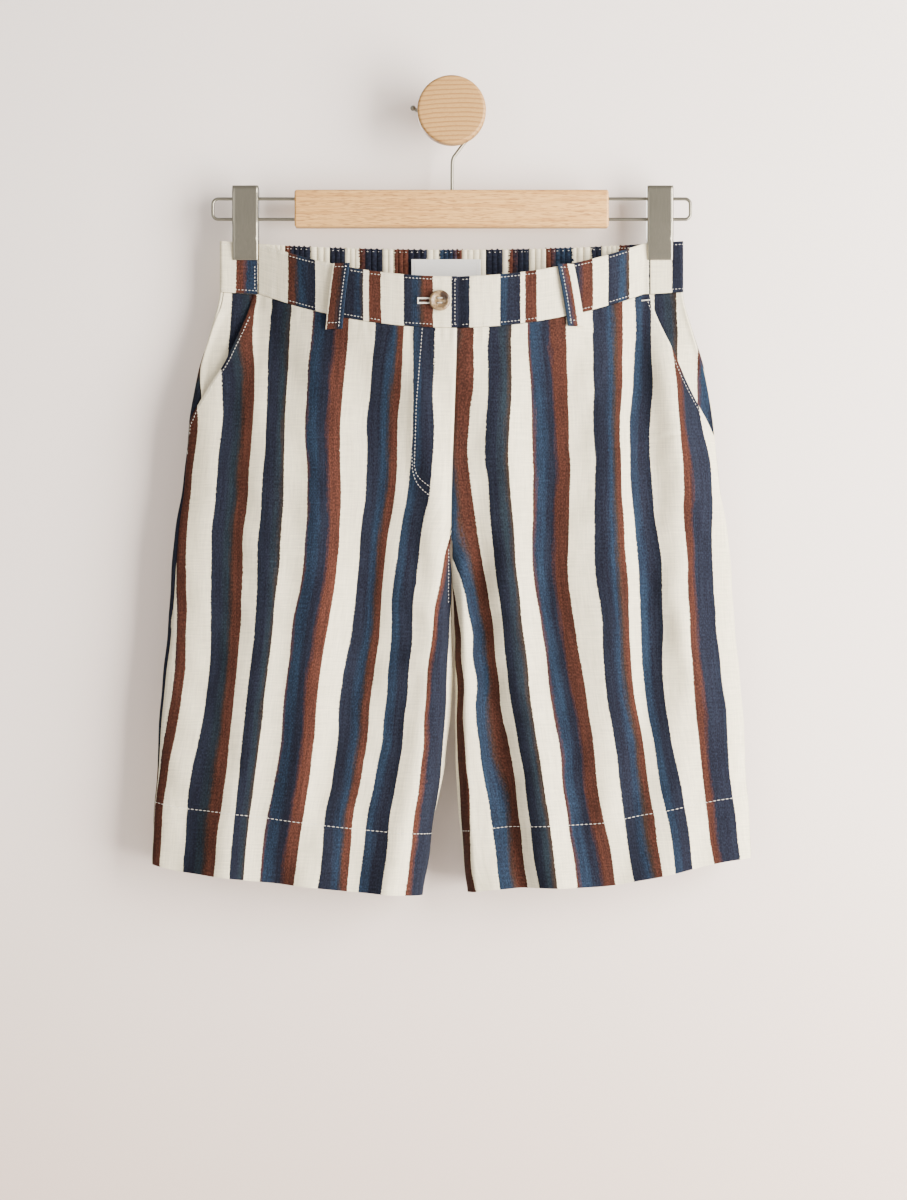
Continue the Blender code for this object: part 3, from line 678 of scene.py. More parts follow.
RIGHT_CHART = listed(
    Stripe, (8.6, RUST), (21.0, CREAM), (9.4, NAVY), (6.6, TEAL), (1.7, BROWN), (8.4, RUST),
    (11.8, CREAM), (9.8, NAVY), (4.2, TEAL), (2.6, BROWN), (18.0, CREAM), (1.0, RUST), (9.2, BLUE),
    (7.8, NAVY), (10.4, RUST), (18.4, CREAM), (10.2, NAVY), (6.4, BLUE), (2.0, BROWN), (5.6, RUST),
    (11.2, CREAM), (6.6, BLUE), (10.6, NAVY), (18.6, CREAM), (3.8, RUST), (16.6, NAVY), (13.5, CREAM))

# the left leg's rust stripes take the darker copy of RUST, as painted shade
LEFT_CHART = listed(
    Stripe, (12.0, DEEP_RUST), (12.6, CREAM), (10.9, BLUE), (1.9, BROWN), (7.9, DEEP_RUST), (10.0, CREAM),
    (8.8, NAVY), (5.6, TEAL), (2.8, BROWN), (18.0, CREAM), (1.2, DEEP_RUST), (9.6, BLUE), (7.2, NAVY),
    (10.6, DEEP_RUST), (17.8, CREAM), (9.8, NAVY), (5.2, BLUE), (3.4, BROWN), (5.4, DEEP_RUST),
    (10.2, CREAM), (6.2, BLUE), (10.6, NAVY), (21.6, CREAM), (5.6, DEEP_RUST), (17.6, NAVY),
    (28.0, CREAM))

RIGHT_BAND_CHART = listed(
    Stripe, (24.6, CREAM), (5.8, RUST), (1.6, BROWN), (7.4, BLUE), (8.2, NAVY), (20.5, CREAM),
    (12.3, NAVY), (4.9, BLUE), (1.7, BROWN), (4.0, CREAM), (10.3, RUST), (18.5, CREAM), (7.3, NAVY),
    (5.0, BLUE), (3.2, BROWN), (8.2, RUST), (14.2, CREAM), (30.0, NAVY))

# the left band's rust stripes take the darker copy of RUST, as painted shade
LEFT_BAND_CHART = listed(
    Stripe, (36.2, NAVY), (24.6, CREAM), (5.4, BLUE), (11.5, NAVY), (3.9, CREAM), (9.2, DEEP_RUST),
    (25.6, CREAM), (10.2, NAVY), (10.4, DEEP_RUST), (12.4, CREAM), (8.8, NAVY), (6.0, BLUE), (3.5, BROWN),
    (16.0, CREAM), (8.0, NAVY))

TRIM_CHART = listed(
    Stripe, (8.0, CREAM), (6.4, RUST), (1.6, BROWN), (2.2, NAVY), (9.0, BLUE), (3.4, RUST), (40.0, CREAM),
    (9.6, NAVY), (6.6, TEAL), (12.0, RUST))

BACK_BAND_CHART = listed(
    Stripe, (10.4, BLUE), (7.0, RUST), (70.2, CREAM), (4.9, RUST), (17.2, NAVY), (13.9, CREAM),
    (13.1, NAVY), (10.7, CREAM), (5.7, RUST), (13.9, NAVY), (10.7, CREAM), (10.7, RUST), (13.9, NAVY),
    (12.3, CREAM), (13.1, BLUE), (4.9, RUST), (18.9, CREAM), (13.1, NAVY), (6.6, CREAM), (4.1, RUST),
    (13.1, NAVY), (12.3, CREAM), (7.0, RUST), (16.4, BLUE), (14.8, CREAM), (9.8, NAVY), (13.1, CREAM),
    (6.6, RUST), (58.1, NAVY), (30.0, CREAM))

STRAIGHTER = {"wave": 2.0, "wobble": 1.2}


class Graph:
    """Short calls for the nodes of a material."""

    def __init__(self, name: str) -> None:
        """Start a material with a Principled shader."""
        self.material = bpy.data.materials.new(name)
        self.material.use_nodes = True
        self.tree = self.material.node_tree
        self.shader = self.tree.nodes["Principled BSDF"]

    def node(self, kind: str, **settings: object) -> bpy.types.Node:
        """New node of a kind, with attributes set.

        Args:
            kind: type of the node, without ShaderNode.
            settings: its attributes.

        Returns:
            The node.
        """
        made = self.tree.nodes.new("ShaderNode" + kind)
        for key, value in settings.items():
            setattr(made, key, value)
        return made

    def link(self, source: Socket, target: Socket) -> None:
        """Join an output to an input."""
        self.tree.links.new(source, target)

    def place(self, kind: str, scale: Sequence[float], move: Sequence[float] = (0.0, 0.0, 0.0)) -> Socket:
        """Coordinates on a piece, scaled and moved.

        Args:
            kind: "UV" for the flat cloth or "Object" for the piece's own space.
            scale: scale along each axis, for each metre.
            move: shift along each axis.

        Returns:
            The vector's socket.
        """
        coordinates = self.node("TexCoord")
        mapping = self.node("Mapping")
        mapping.inputs["Location"].default_value = move
        mapping.inputs["Scale"].default_value = scale
        self.link(coordinates.outputs[kind], mapping.inputs["Vector"])
        return mapping.outputs["Vector"]

    def noise(self, vector: Socket, detail: float = 2.0, roughness: float = 0.5,
              distortion: float = 0.0) -> Socket:
        """Cloudy value from 0 to 1 at a vector.

        Args:
            vector: place in the clouds, each about 1 wide.
            detail: number of finer layers.
            roughness: strength of the finer layers.
            distortion: how far the clouds are stirred.

        Returns:
            The value's socket.
        """
        made = self.node("TexNoise")
        made.inputs["Scale"].default_value = 1.0
        made.inputs["Detail"].default_value = detail
        made.inputs["Roughness"].default_value = roughness
        made.inputs["Distortion"].default_value = distortion
        self.link(vector, made.inputs["Vector"])
        return made.outputs["Fac"]

    def math(self, operation: str, *values: object) -> Socket:
        """Result of a Math node.

        Args:
            operation: name of the operation.
            values: numbers or sockets.

        Returns:
            The result's socket.
        """
        made = self.node("Math", operation=operation)
        for slot, value in zip(made.inputs, values):
            if isinstance(value, Socket):
                self.link(value, slot)
            else:
                slot.default_value = value
        return made.outputs[0]

    def total(self, *terms: tuple[Socket, float]) -> Socket:
        """Sum of values, each times its weight.

        Args:
            terms: (value, weight) of each.

        Returns:
            The sum's socket.
        """
        first, *rest = [self.math("MULTIPLY", value, weight) for value, weight in terms]
        for part in rest:
            first = self.math("ADD", first, part)
        return first

    def paint(self, colour: Socket) -> None:
        """Give the shader its colour."""
        self.link(colour, self.shader.inputs["Base Color"])

    def swing(self, value: Socket, size: float) -> Socket:
        """Cloudy value turned into a shift of up to about a third of size each way."""
        return self.math("MULTIPLY", self.math("SUBTRACT", value, 0.5), size)

    def ramp(self, value: Socket, stops: Sequence[tuple[float, Sequence[float]]],
             constant: bool = False) -> Socket:
        """Colour looked up in a ramp.

        Args:
            value: place on the ramp.
            stops: (place, linear colour) of each stop, in order.
            constant: whether a colour holds until the next stop.

        Returns:
            The colour's socket.
        """
        made = self.node("ValToRGB")
        band = made.color_ramp
        band.interpolation = "CONSTANT" if constant else "LINEAR"
        while len(band.elements) > 1:
            band.elements.remove(band.elements[-1])
        band.elements[0].position = stops[0][0]
        band.elements[0].color = (*stops[0][1], 1.0)
        for position, colour in stops[1:]:
            band.elements.new(position).color = (*colour, 1.0)
        self.link(value, made.inputs["Fac"])
        return made.outputs["Color"]

    def blend(self, share: object, first: object, second: object, kind: str = "MIX") -> Socket:
        """Mix of two colours.

        Args:
            share: share of the second colour.
            first: socket or linear colour.
            second: socket or linear colour.
            kind: how they are mixed.

        Returns:
            The colour's socket.
        """
        made = self.node("Mix", data_type="RGBA", blend_type=kind)
        made.clamp_factor = True
        for slot, value in ((made.inputs[0], share), (made.inputs[6], first), (made.inputs[7], second)):
            if isinstance(value, Socket):
                self.link(value, slot)
            else:
                slot.default_value = (*value, 1.0) if slot.type == "RGBA" else value
        return made.outputs[2]

    def bump(self, height: Socket, distance: float, strength: float) -> None:
        """Raise the surface by a height.

        Args:
            height: socket of the height.
            distance: millimetres for a height of 1.
            strength: share of the effect.
        """
        made = self.node("Bump")
        made.inputs["Strength"].default_value = strength
        made.inputs["Distance"].default_value = distance * MM
        self.link(height, made.inputs["Height"])
        self.link(made.outputs["Normal"], self.shader.inputs["Normal"])

    def set(self, **values: float) -> None:
        """Set plain values on the shader, with _ for a space in their names."""
        for key, value in values.items():
            self.shader.inputs[key.replace("_", " ")].default_value = value


def grey(value: float) -> Triple:
    """Linear colour without a hue."""
    return (value, value, value)


@dataclass(frozen=True)
class StripedLinen:
    """Linen printed with hand painted stripes, whose chart repeats across the cloth."""

    name: str
    chart: tuple[Stripe, ...]
    wave: float = 4.0
    wave_width: float = 60.0
    wave_length: float = 95.0
    wobble: float = 2.2
    ragged: float = 1.8
    bleed: float = 4.0
    soft: float = 1.3
    thread: float = 0.85
    slub: float = 0.15
    speck: float = 0.36

    def bare(self) -> list[tuple[float, Sequence[float]]]:
        """Ramp stops that are 1 where the cloth is bare cream and 0 where it is printed.

        Returns:
            (place, colour) of each stop.
        """
        total = sum(stripe.width for stripe in self.chart)
        at, last, made = 0.0, None, []
        for stripe in self.chart:
            cream = stripe.ink is CREAM
            if cream is not last:
                made.append((at / total, grey(float(cream))))
            last = cream
            at += stripe.width
        return made

    def inks(self, worn: bool) -> list[tuple[float, Sequence[float]]]:
        """Ramp stops of the inks alone, full or worn, each running on under half of a cream stripe.

        Args:
            worn: whether the print is worn thin.

        Returns:
            (place, colour) of each stop.
        """
        total = sum(stripe.width for stripe in self.chart)
        at, start, made = 0.0, 0.0, []
        for stripe in self.chart:
            if stripe.ink is CREAM:
                start = at + stripe.width / 2.0
            else:
                made.append((start / total, stripe.ink.value[1 if worn else 0]))
                start = at + stripe.width
            at += stripe.width
        return made

    def make(self) -> Material:
        """Build the material.

        Returns:
            A material that reads the piece's Pattern map, in metres.
        """
        graph = Graph(self.name)
        total = sum(stripe.width for stripe in self.chart)
        split = graph.node("SeparateXYZ")
        graph.link(graph.place("UV", (1.0, 1.0, 1.0)), split.inputs[0])

        def cloud(width: float, length: float, detail: float, seed: float) -> Socket:
            """Clouds of a width and length in millimetres, different for each seed."""
            scale = (1.0 / (width * MM), 1.0 / (length * MM), 1.0)
            return graph.noise(graph.place("UV", scale, (seed, 2.0 * seed, 0.0)), detail=detail)

        def on_chart(shift: Socket) -> Socket:
            """Share of the way along the chart, once shifted across the cloth."""
            moved = graph.math("ADD", across, shift)
            return graph.math("FRACT", graph.math("DIVIDE", moved, total))

        across = graph.math("MULTIPLY", split.outputs[0], 1.0 / MM)
        for shift in (graph.swing(cloud(self.wave_width, self.wave_length, 1.0, 3.7), self.wave),
                      graph.swing(cloud(9.0, 40.0, 1.0, 11.3), self.wobble)):
            across = graph.math("ADD", across, shift)
        edge = on_chart(graph.swing(cloud(1.5, 1.2, 1.0, 5.9), self.ragged))
        bled = graph.math("ADD", graph.swing(cloud(0.8, 4.0, 2.0, 57.0), self.bleed),
                          graph.swing(cloud(3.0, 30.0, 1.0, 71.0), self.bleed))
        streaks = graph.total((cloud(2.8, 62.0, 3.0, 1.9), 0.60), (cloud(26.0, 80.0, 2.0, 8.1), 0.30),
                              (cloud(1.2, 34.0, 2.0, 13.0), 0.35))
        thin = graph.ramp(streaks, ((0.53, grey(0.0)), (0.78, grey(1.0))))
        specks = cloud(0.85, 1.9, 2.0, 41.0)
        wear = graph.total((thin, 0.8), (graph.ramp(specks, ((0.44, grey(0.0)), (0.70, grey(0.7)))), 1.0))
        layers = []
        for aside in (-self.soft, 0.0, self.soft):
            mixed = on_chart(graph.math("ADD", bled, aside))
            layers.append(graph.blend(wear, graph.ramp(mixed, self.inks(False), constant=True),
                                      graph.ramp(mixed, self.inks(True), constant=True)))
        printed = graph.blend(1.0 / 3.0, graph.blend(0.5, *layers[:2]), layers[2])
        warp = cloud(1.15, 20.0, 3.0, 21.0)
        weft = cloud(18.0, 1.15, 3.0, 31.0)
        threads = graph.total((warp, 0.5), (weft, 0.5))
        grain = graph.total((specks, 0.5), (threads, 0.5))
        dusty = graph.ramp(grain, ((0.38, grey(1.0 - self.speck)), (0.62, grey(1.0 + self.speck))))
        tone = graph.ramp(threads, ((0.34, grey(1.0 - self.slub)), (0.66, grey(1.0 + self.slub))))
        inked = graph.blend(1.0, printed, dusty, "MULTIPLY")
        cream = graph.blend(1.0, graph.blend(thin, *CREAM.value), tone, "MULTIPLY")
        bare = graph.ramp(edge, self.bare(), constant=True)
        graph.paint(graph.blend(bare, inked, cream))

        turn = 2.0 * math.pi / (self.thread * MM)
        plait = graph.math("MULTIPLY", graph.math("SINE", graph.math("MULTIPLY", split.outputs[0], turn)),
                           graph.math("SINE", graph.math("MULTIPLY", split.outputs[1], turn)))
        graph.bump(graph.total((plait, 0.22), (threads, 1.0)), 0.45, 0.6)
        graph.set(Roughness=0.86, Specular_IOR_Level=0.06, Sheen_Weight=0.03, Sheen_Roughness=0.6)
        return graph.material


@dataclass(frozen=True)
class Thread:
    """Cream sewing thread with a soft twist."""

    colour: Triple = (0.84, 0.80, 0.71)

    def make(self) -> Material:
        """Build the material."""
        graph = Graph("sewing_thread")
        twist = graph.noise(graph.place("Object", (3000.0, 3000.0, 3000.0)), detail=1.0)
        darker = tuple(0.82 * part for part in self.colour)
        graph.paint(graph.ramp(twist, ((0.35, darker), (0.65, self.colour))))
        graph.bump(twist, 0.1, 0.4)
        graph.set(Roughness=0.6, Specular_IOR_Level=0.3)
        return graph.material


@dataclass(frozen=True)
class LabelWeave:
    """Smooth white woven tape, with fine cross ribs."""

    colour: Triple = (0.66, 0.65, 0.62)

    def make(self) -> Material:
        """Build the material."""
        graph = Graph("label_weave")
        ribs = graph.noise(graph.place("UV", (150.0, 2600.0, 1.0)), detail=2.0)
        pale = tuple(1.06 * part for part in self.colour)
        graph.paint(graph.ramp(ribs, ((0.35, self.colour), (0.65, pale))))
        graph.bump(ribs, 0.12, 0.35)
        graph.set(Roughness=0.5, Specular_IOR_Level=0.3, Sheen_Weight=0.1)
        return graph.material


@dataclass(frozen=True)
class Horn:
    """Polished horn: tan and cream clouds with a dark brown patch."""

    patch: Pair = (4.0, 4.5)
    brown: Triple = (0.040, 0.019, 0.009)

    def make(self, centre: Pair) -> Material:
        """Build the material.

        Args:
            centre: (x, height) of the button's middle.

        Returns:
            The material.
        """
        graph = Graph("horn")
        swirl = graph.noise(graph.place("Object", (190.0, 190.0, 330.0)), detail=4.0, roughness=0.6,
                            distortion=1.4)
        base = graph.ramp(swirl, ((0.30, (0.098, 0.052, 0.019)), (0.48, (0.195, 0.122, 0.054)),
                                  (0.62, (0.300, 0.224, 0.125)), (0.75, (0.142, 0.084, 0.034))))
        spot = graph.node("VectorMath", operation="DISTANCE")
        graph.link(graph.place("Object", (1.0, 0.0, 1.0)), spot.inputs[0])
        middle = (centre[0] + self.patch[0], 0.0, centre[1] + self.patch[1])
        spot.inputs[1].default_value = [place * MM for place in middle]
        ragged = graph.total((spot.outputs["Value"], 80.0), (swirl, 0.45))
        dark = graph.ramp(ragged, ((0.44, grey(1.0)), (0.60, grey(0.0))))
        graph.paint(graph.blend(dark, base, self.brown))
        graph.set(Roughness=0.28, Coat_Weight=0.4, Coat_Roughness=0.12)
        return graph.material


class Grain(Enum):
    """How a piece of beech is cut."""

    LONG = "long"
    END = "end"


@dataclass(frozen=True)
class Beech:
    """Pale beech under a satin lacquer."""

    grain: Grain
    pale: Triple = (0.665, 0.375, 0.126)
    deep: Triple = (0.500, 0.250, 0.072)
    fleck: Triple = (0.270, 0.120, 0.040)
    end_shade: float = 0.71
    end_deep: float = 0.62
    ring_centre: Pair = (0.006, -0.118)
    ring_squash: float = 0.72

    def make(self) -> Material:
        """Build the material.

        Returns:
            A material on Object coordinates: along X for long grain, across Y for end grain.
        """
        graph = Graph("beech_%s_grain" % self.grain.value)
        if self.grain is Grain.LONG:
            lines = graph.noise(graph.place("Object", (7.0, 330.0, 330.0)), detail=5.0, roughness=0.66,
                                distortion=0.3)
            marks = graph.noise(graph.place("Object", (130.0, 1700.0, 1700.0)), detail=1.0)
            base = graph.ramp(lines, ((0.32, self.deep), (0.50, self.pale), (0.60, self.deep),
                                      (0.72, self.pale)))
            dark = graph.ramp(marks, ((0.55, grey(0.0)), (0.66, grey(0.75))))
        else:
            ring = graph.node("TexWave", wave_type="RINGS", rings_direction="SPHERICAL",
                              wave_profile="SAW")
            x, height = self.ring_centre
            move = (-self.ring_squash * x, 0.0, -height)
            graph.link(graph.place("Object", (self.ring_squash, 0.0, 1.0), move), ring.inputs["Vector"])
            ring.inputs["Scale"].default_value = 84.0
            ring.inputs["Distortion"].default_value = 1.3
            ring.inputs["Detail"].default_value = 2.0
            ring.inputs["Detail Scale"].default_value = 0.7
            lines = ring.outputs["Fac"]
            marks = graph.noise(graph.place("Object", (900.0, 300.0, 2600.0)), detail=1.0)
            pale, deep = (tuple(shade * part for part in tint)
                          for shade, tint in ((self.end_shade, self.pale), (self.end_deep, self.deep)))
            base = graph.ramp(lines, ((0.0, pale), (0.55, pale), (0.88, deep), (1.0, deep)))
            dark = graph.ramp(marks, ((0.52, grey(0.0)), (0.72, grey(0.5))))
        graph.paint(graph.blend(dark, base, self.fleck))
        graph.bump(marks, 0.05, 0.2)
        graph.set(Roughness=0.46, Specular_IOR_Level=0.3, Coat_Weight=0.12, Coat_Roughness=0.35)
        return graph.material


@dataclass(frozen=True)
class SatinNickel:
    """Softly brushed nickel plate."""

    colour: Triple = (0.275, 0.256, 0.200)

    def make(self) -> Material:
        """Build the material."""
        graph = Graph("satin_nickel")
        brushed = graph.noise(graph.place("Object", (2400.0, 2400.0, 90.0)), detail=2.0)
        deeper = tuple(0.88 * part for part in self.colour)
        graph.paint(graph.ramp(brushed, ((0.3, deeper), (0.7, self.colour))))
        rough = graph.math("ADD", graph.math("MULTIPLY", brushed, 0.12), 0.28)
        graph.link(rough, graph.shader.inputs["Roughness"])
        graph.bump(brushed, 0.02, 0.2)
        graph.set(Metallic=1.0)
        return graph.material


# Shape of the cloth

@dataclass
class ClothForm:
    """The shape in which the cloth hangs: pinched flat at the waist and open below it."""

    seam_gap: float = 0.3
    clip_plane: float = -22.0
    band_height: float = 41.6
    band_wall: float = 2.2
    band_pinch: float = 3.0
    waist_half: float = 190.3
    front_half: float = 158.0
    front_top: float = -106.4
    front_sag: float = 31.0
    front_bulge: float = 33.0
    back_top: float = -104.6
    back_sag: float = 6.5
    panel_pinch: float = 2.5
    lens_across: float = 3.0
    inseam_across: float = 7.0
    lens_depth: float = 2.2
    waist_flat: float = 10.0
    waist_blend: float = 115.0
    crotch: float = -402.0
    front_split: float = -335.0
    back_split: float = -300.0
    drape: float = 2.2
    drape_width: float = 78.0
    drape_start: float = -330.0
    drape_end: float = -620.0
    pocket_top: float = -148.0
    pocket_foot: float = -264.0
    seam_turn: float = 0.010
    fold_start: float = 45.0

    def band_top(self, x: Array, front: Array | bool) -> Array:
        """Height of the waistband's top edge.

        Args:
            x: places across.
            front: where the front band is meant.

        Returns:
            The heights.
        """
        away = np.abs(x)
        slack = self.front_top - self.front_sag * (1.0 - np.minimum(away / self.front_half, 1.0) ** 2)
        held = self.back_top - self.back_sag * (1.0 - np.minimum(away / self.waist_half, 1.0) ** 2)
        return np.where(front, slack, held)

    def waist_edge(self, x: Array, front: Array | bool) -> Array:
        """Height of the waistband's lower edge."""
        return self.band_top(x, np.logical_and(front, np.abs(x) < self.front_half)) - self.band_height

    def bulge(self, x: Array) -> Array:
        """How far the slack front of the waist stands forward of the pinched sides."""
        return self.front_bulge * np.maximum(1.0 - (x / self.front_half) ** 2, 0.0)

    def lens(self, share: Array) -> Array:
        """Height of a flattened section, 1 in its middle and 0 at its folds."""
        return (1.0 - np.minimum(share, 1.0) ** self.lens_across) ** (1.0 / self.lens_depth)

    def face_depth(self, side: Side, turn: Array, across: Array, reach: Array, height: Array) -> Array:
        """Y of the outer face of a leg.

        Args:
            side: leg.
            turn: place round the leg.
            across: distance from the centre line, towards the leg's side.
            reach: distance of the outer fold.
            height: height.

        Returns:
            The depths.
        """
        front = turn > 0.0
        toward = np.where(front, -1.0, 1.0)
        inward = np.clip((across - reach + self.panel_pinch) / self.panel_pinch, 0.0, 1.0)
        pinched = self.panel_pinch * np.sqrt(1.0 - inward ** 2) + np.where(front, self.bulge(across), 0.0)
        body = np.where(front, read(DEPTH, "body_front", height), read(DEPTH, "body_back", height))
        body = body * self.lens(np.abs(across) / reach)
        leg = np.where(front, read(DEPTH, "leg_front", height), read(DEPTH, "leg_back", height))
        run = np.cos(turn)
        power = np.where(run < 0.0, self.inseam_across, self.lens_across)
        leg = leg * (1.0 - np.abs(run) ** power) ** (1.0 / self.lens_depth)
        split = np.where(front, ease(self.front_split, self.crotch, height),
                         ease(self.back_split, self.crotch, height))
        fold = self.drape * ease(self.drape_start, self.drape_end, height)
        fold = fold * np.sin(2.0 * math.pi * across / self.drape_width + 0.9 * side.value)
        opened = mix(body, leg, split) + fold * np.abs(np.sin(turn))
        fall = self.waist_edge(across, front) - height
        share = ease(self.waist_flat, self.waist_blend, fall)
        depth = mix(self.clip_plane + toward * pinched,
                    read(DEPTH, "middle", height) + toward * opened, share)
        other = Side(-side.value)
        folds = np.where(front, self.folds(side, across, height), self.folds(other, across, height))
        seams = ease(0.0, 0.08, 1.0 - np.abs(run))
        return depth + toward * folds * seams * ease(0.0, self.fold_start, fall)

    @staticmethod
    def folds(side: Side, across: Array, height: Array) -> Array:
        """How far a leg's front folds stand out, which the other leg's back has too.

        Args:
            side: leg.
            across: distances from the centre line.
            height: heights.

        Returns:
            The distances.
        """
        high, middle, _ = FOLD_HEIGHTS
        share = (height - middle) / (high - middle)
        total = np.zeros_like(height)
        for fold in FOLDS[side]:
            bow = (fold.high + fold.low) / 2.0 - fold.middle
            line = fold.middle + (fold.high - fold.low) / 2.0 * share + bow * share ** 2
            ends = ease(fold.top, fold.top - 70.0, height) * ease(fold.foot, fold.foot + 70.0, height)
            total += fold.rise * ends * hump(across - line, fold.width)
        return total

    def edges(self, side: Side, front: Array, drop: Array) -> tuple[Array, Array]:
        """Distances of a row's outer fold and of its inner edge from the centre line.

        Args:
            side: leg.
            front: where the front is meant.
            drop: 0 at the waistband and 1 at the hem.

        Returns:
            Both distances.
        """
        outer = mix(self.waist_edge(self.waist_half, front), read(HEM, side.word, 0.0), drop)
        inner = mix(self.waist_edge(0.0, front), read(HEM, side.word, 1.0), drop)
        return read(SILHOUETTE, "half_width", outer), side.value * read(INSIDE_EDGE, side.word, inner)

    def ring(self, side: Side, turn: Array, drop: Array) -> Array:
        """Points of a leg's outer face.

        Args:
            side: leg.
            turn: 0 at the outer fold, pi at the inside leg by the front and -pi by the back.
            drop: 0 at the waistband and 1 at the hem.

        Returns:
            The points, with X, Y and Z on the last axis.
        """
        turn, drop = np.broadcast_arrays(np.asarray(turn, float), np.asarray(drop, float))
        front = turn > 0.0
        reach, inner = self.edges(side, front, drop)
        share = (1.0 - np.cos(turn)) / 2.0
        across = mix(reach, inner, share)
        top = self.waist_edge(across, front) - self.seam_gap
        height = mix(top, read(HEM, side.word, share), drop)
        depth = self.face_depth(side, turn, across, reach, height)
        return np.stack((side.value * across, depth, height), axis=-1)

    def side_seam(self, side: Side, drop: Array) -> Array:
        """Turn of the side seam, where the back panel ends."""
        return read(SIDE_SEAM, side.word, drop)

    def front_turn(self, side: Side, drop: Array) -> Array:
        """Turn of the front panel's outer edge: the pocket's mouth, then the side seam.

        Args:
            side: leg.
            drop: 0 at the waistband and 1 at the hem.

        Returns:
            The turn of each drop.
        """
        seam = self.side_seam(side, drop) + self.seam_turn
        turn = seam
        for _ in range(8):
            height = self.ring(side, turn, drop)[..., 2]
            reach, inner = self.edges(side, np.ones_like(drop, bool), drop)
            share = (reach - read(POCKET, side.word, height)) / (reach - inner)
            mouth = np.arccos(1.0 - 2.0 * np.clip(share, 0.0, 1.0))
            turn = np.where(height < self.pocket_foot, seam, np.maximum(mouth, seam))
        return turn

    def front_band(self, x: Array, height: Array, out: Array) -> Array:
        """Points at a distance out from the front band's outer face.

        Args:
            x: places across.
            height: heights.
            out: distances out.

        Returns:
            The points.
        """
        slope = 2.0 * self.front_bulge * x / self.front_half ** 2
        slope = np.where(np.abs(x) < self.front_half, slope, 0.0)
        away = unit(np.stack((slope, -np.ones_like(slope), np.zeros_like(slope)), axis=-1))
        face = np.stack((x, self.clip_plane - self.band_pinch - self.bulge(x), height), axis=-1)
        return face + away * np.asarray(out)[..., None]


def flat_cloth(points: Array, anchor: int, direction: float) -> Array:
    """Places on the flat cloth, measured along each row from a column that keeps its X.

    Args:
        points: (rows, columns, 3) places of the hung cloth.
        anchor: column whose X is kept.
        direction: 1 where the columns run towards +X, -1 where they run towards -X.

    Returns:
        (rows, columns, 2) places across and up the cloth.
    """
    along = distances(points)
    across = points[:, anchor:anchor + 1, 0] + direction * (along - along[:, anchor:anchor + 1])
    return np.stack((across, points[..., 2]), axis=-1)


def dress(piece: Piece, material: Material, slot: str, *nodes: str) -> Piece:
    """Finish a piece: its material, its body and the nodes that it stands for.

    Args:
        piece: mesh object.
        material: its material.
        slot: name of the record's material slot; not used.
        nodes: solids that it replaces.

    Returns:
        The piece.
    """
    piece.data.materials.clear()
    piece.data.materials.append(material)
    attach(piece, "root")
    if nodes:
        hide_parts(*nodes)
    log.info("%s: %d faces", piece.name, len(piece.data.polygons))
    return piece


# Sewing

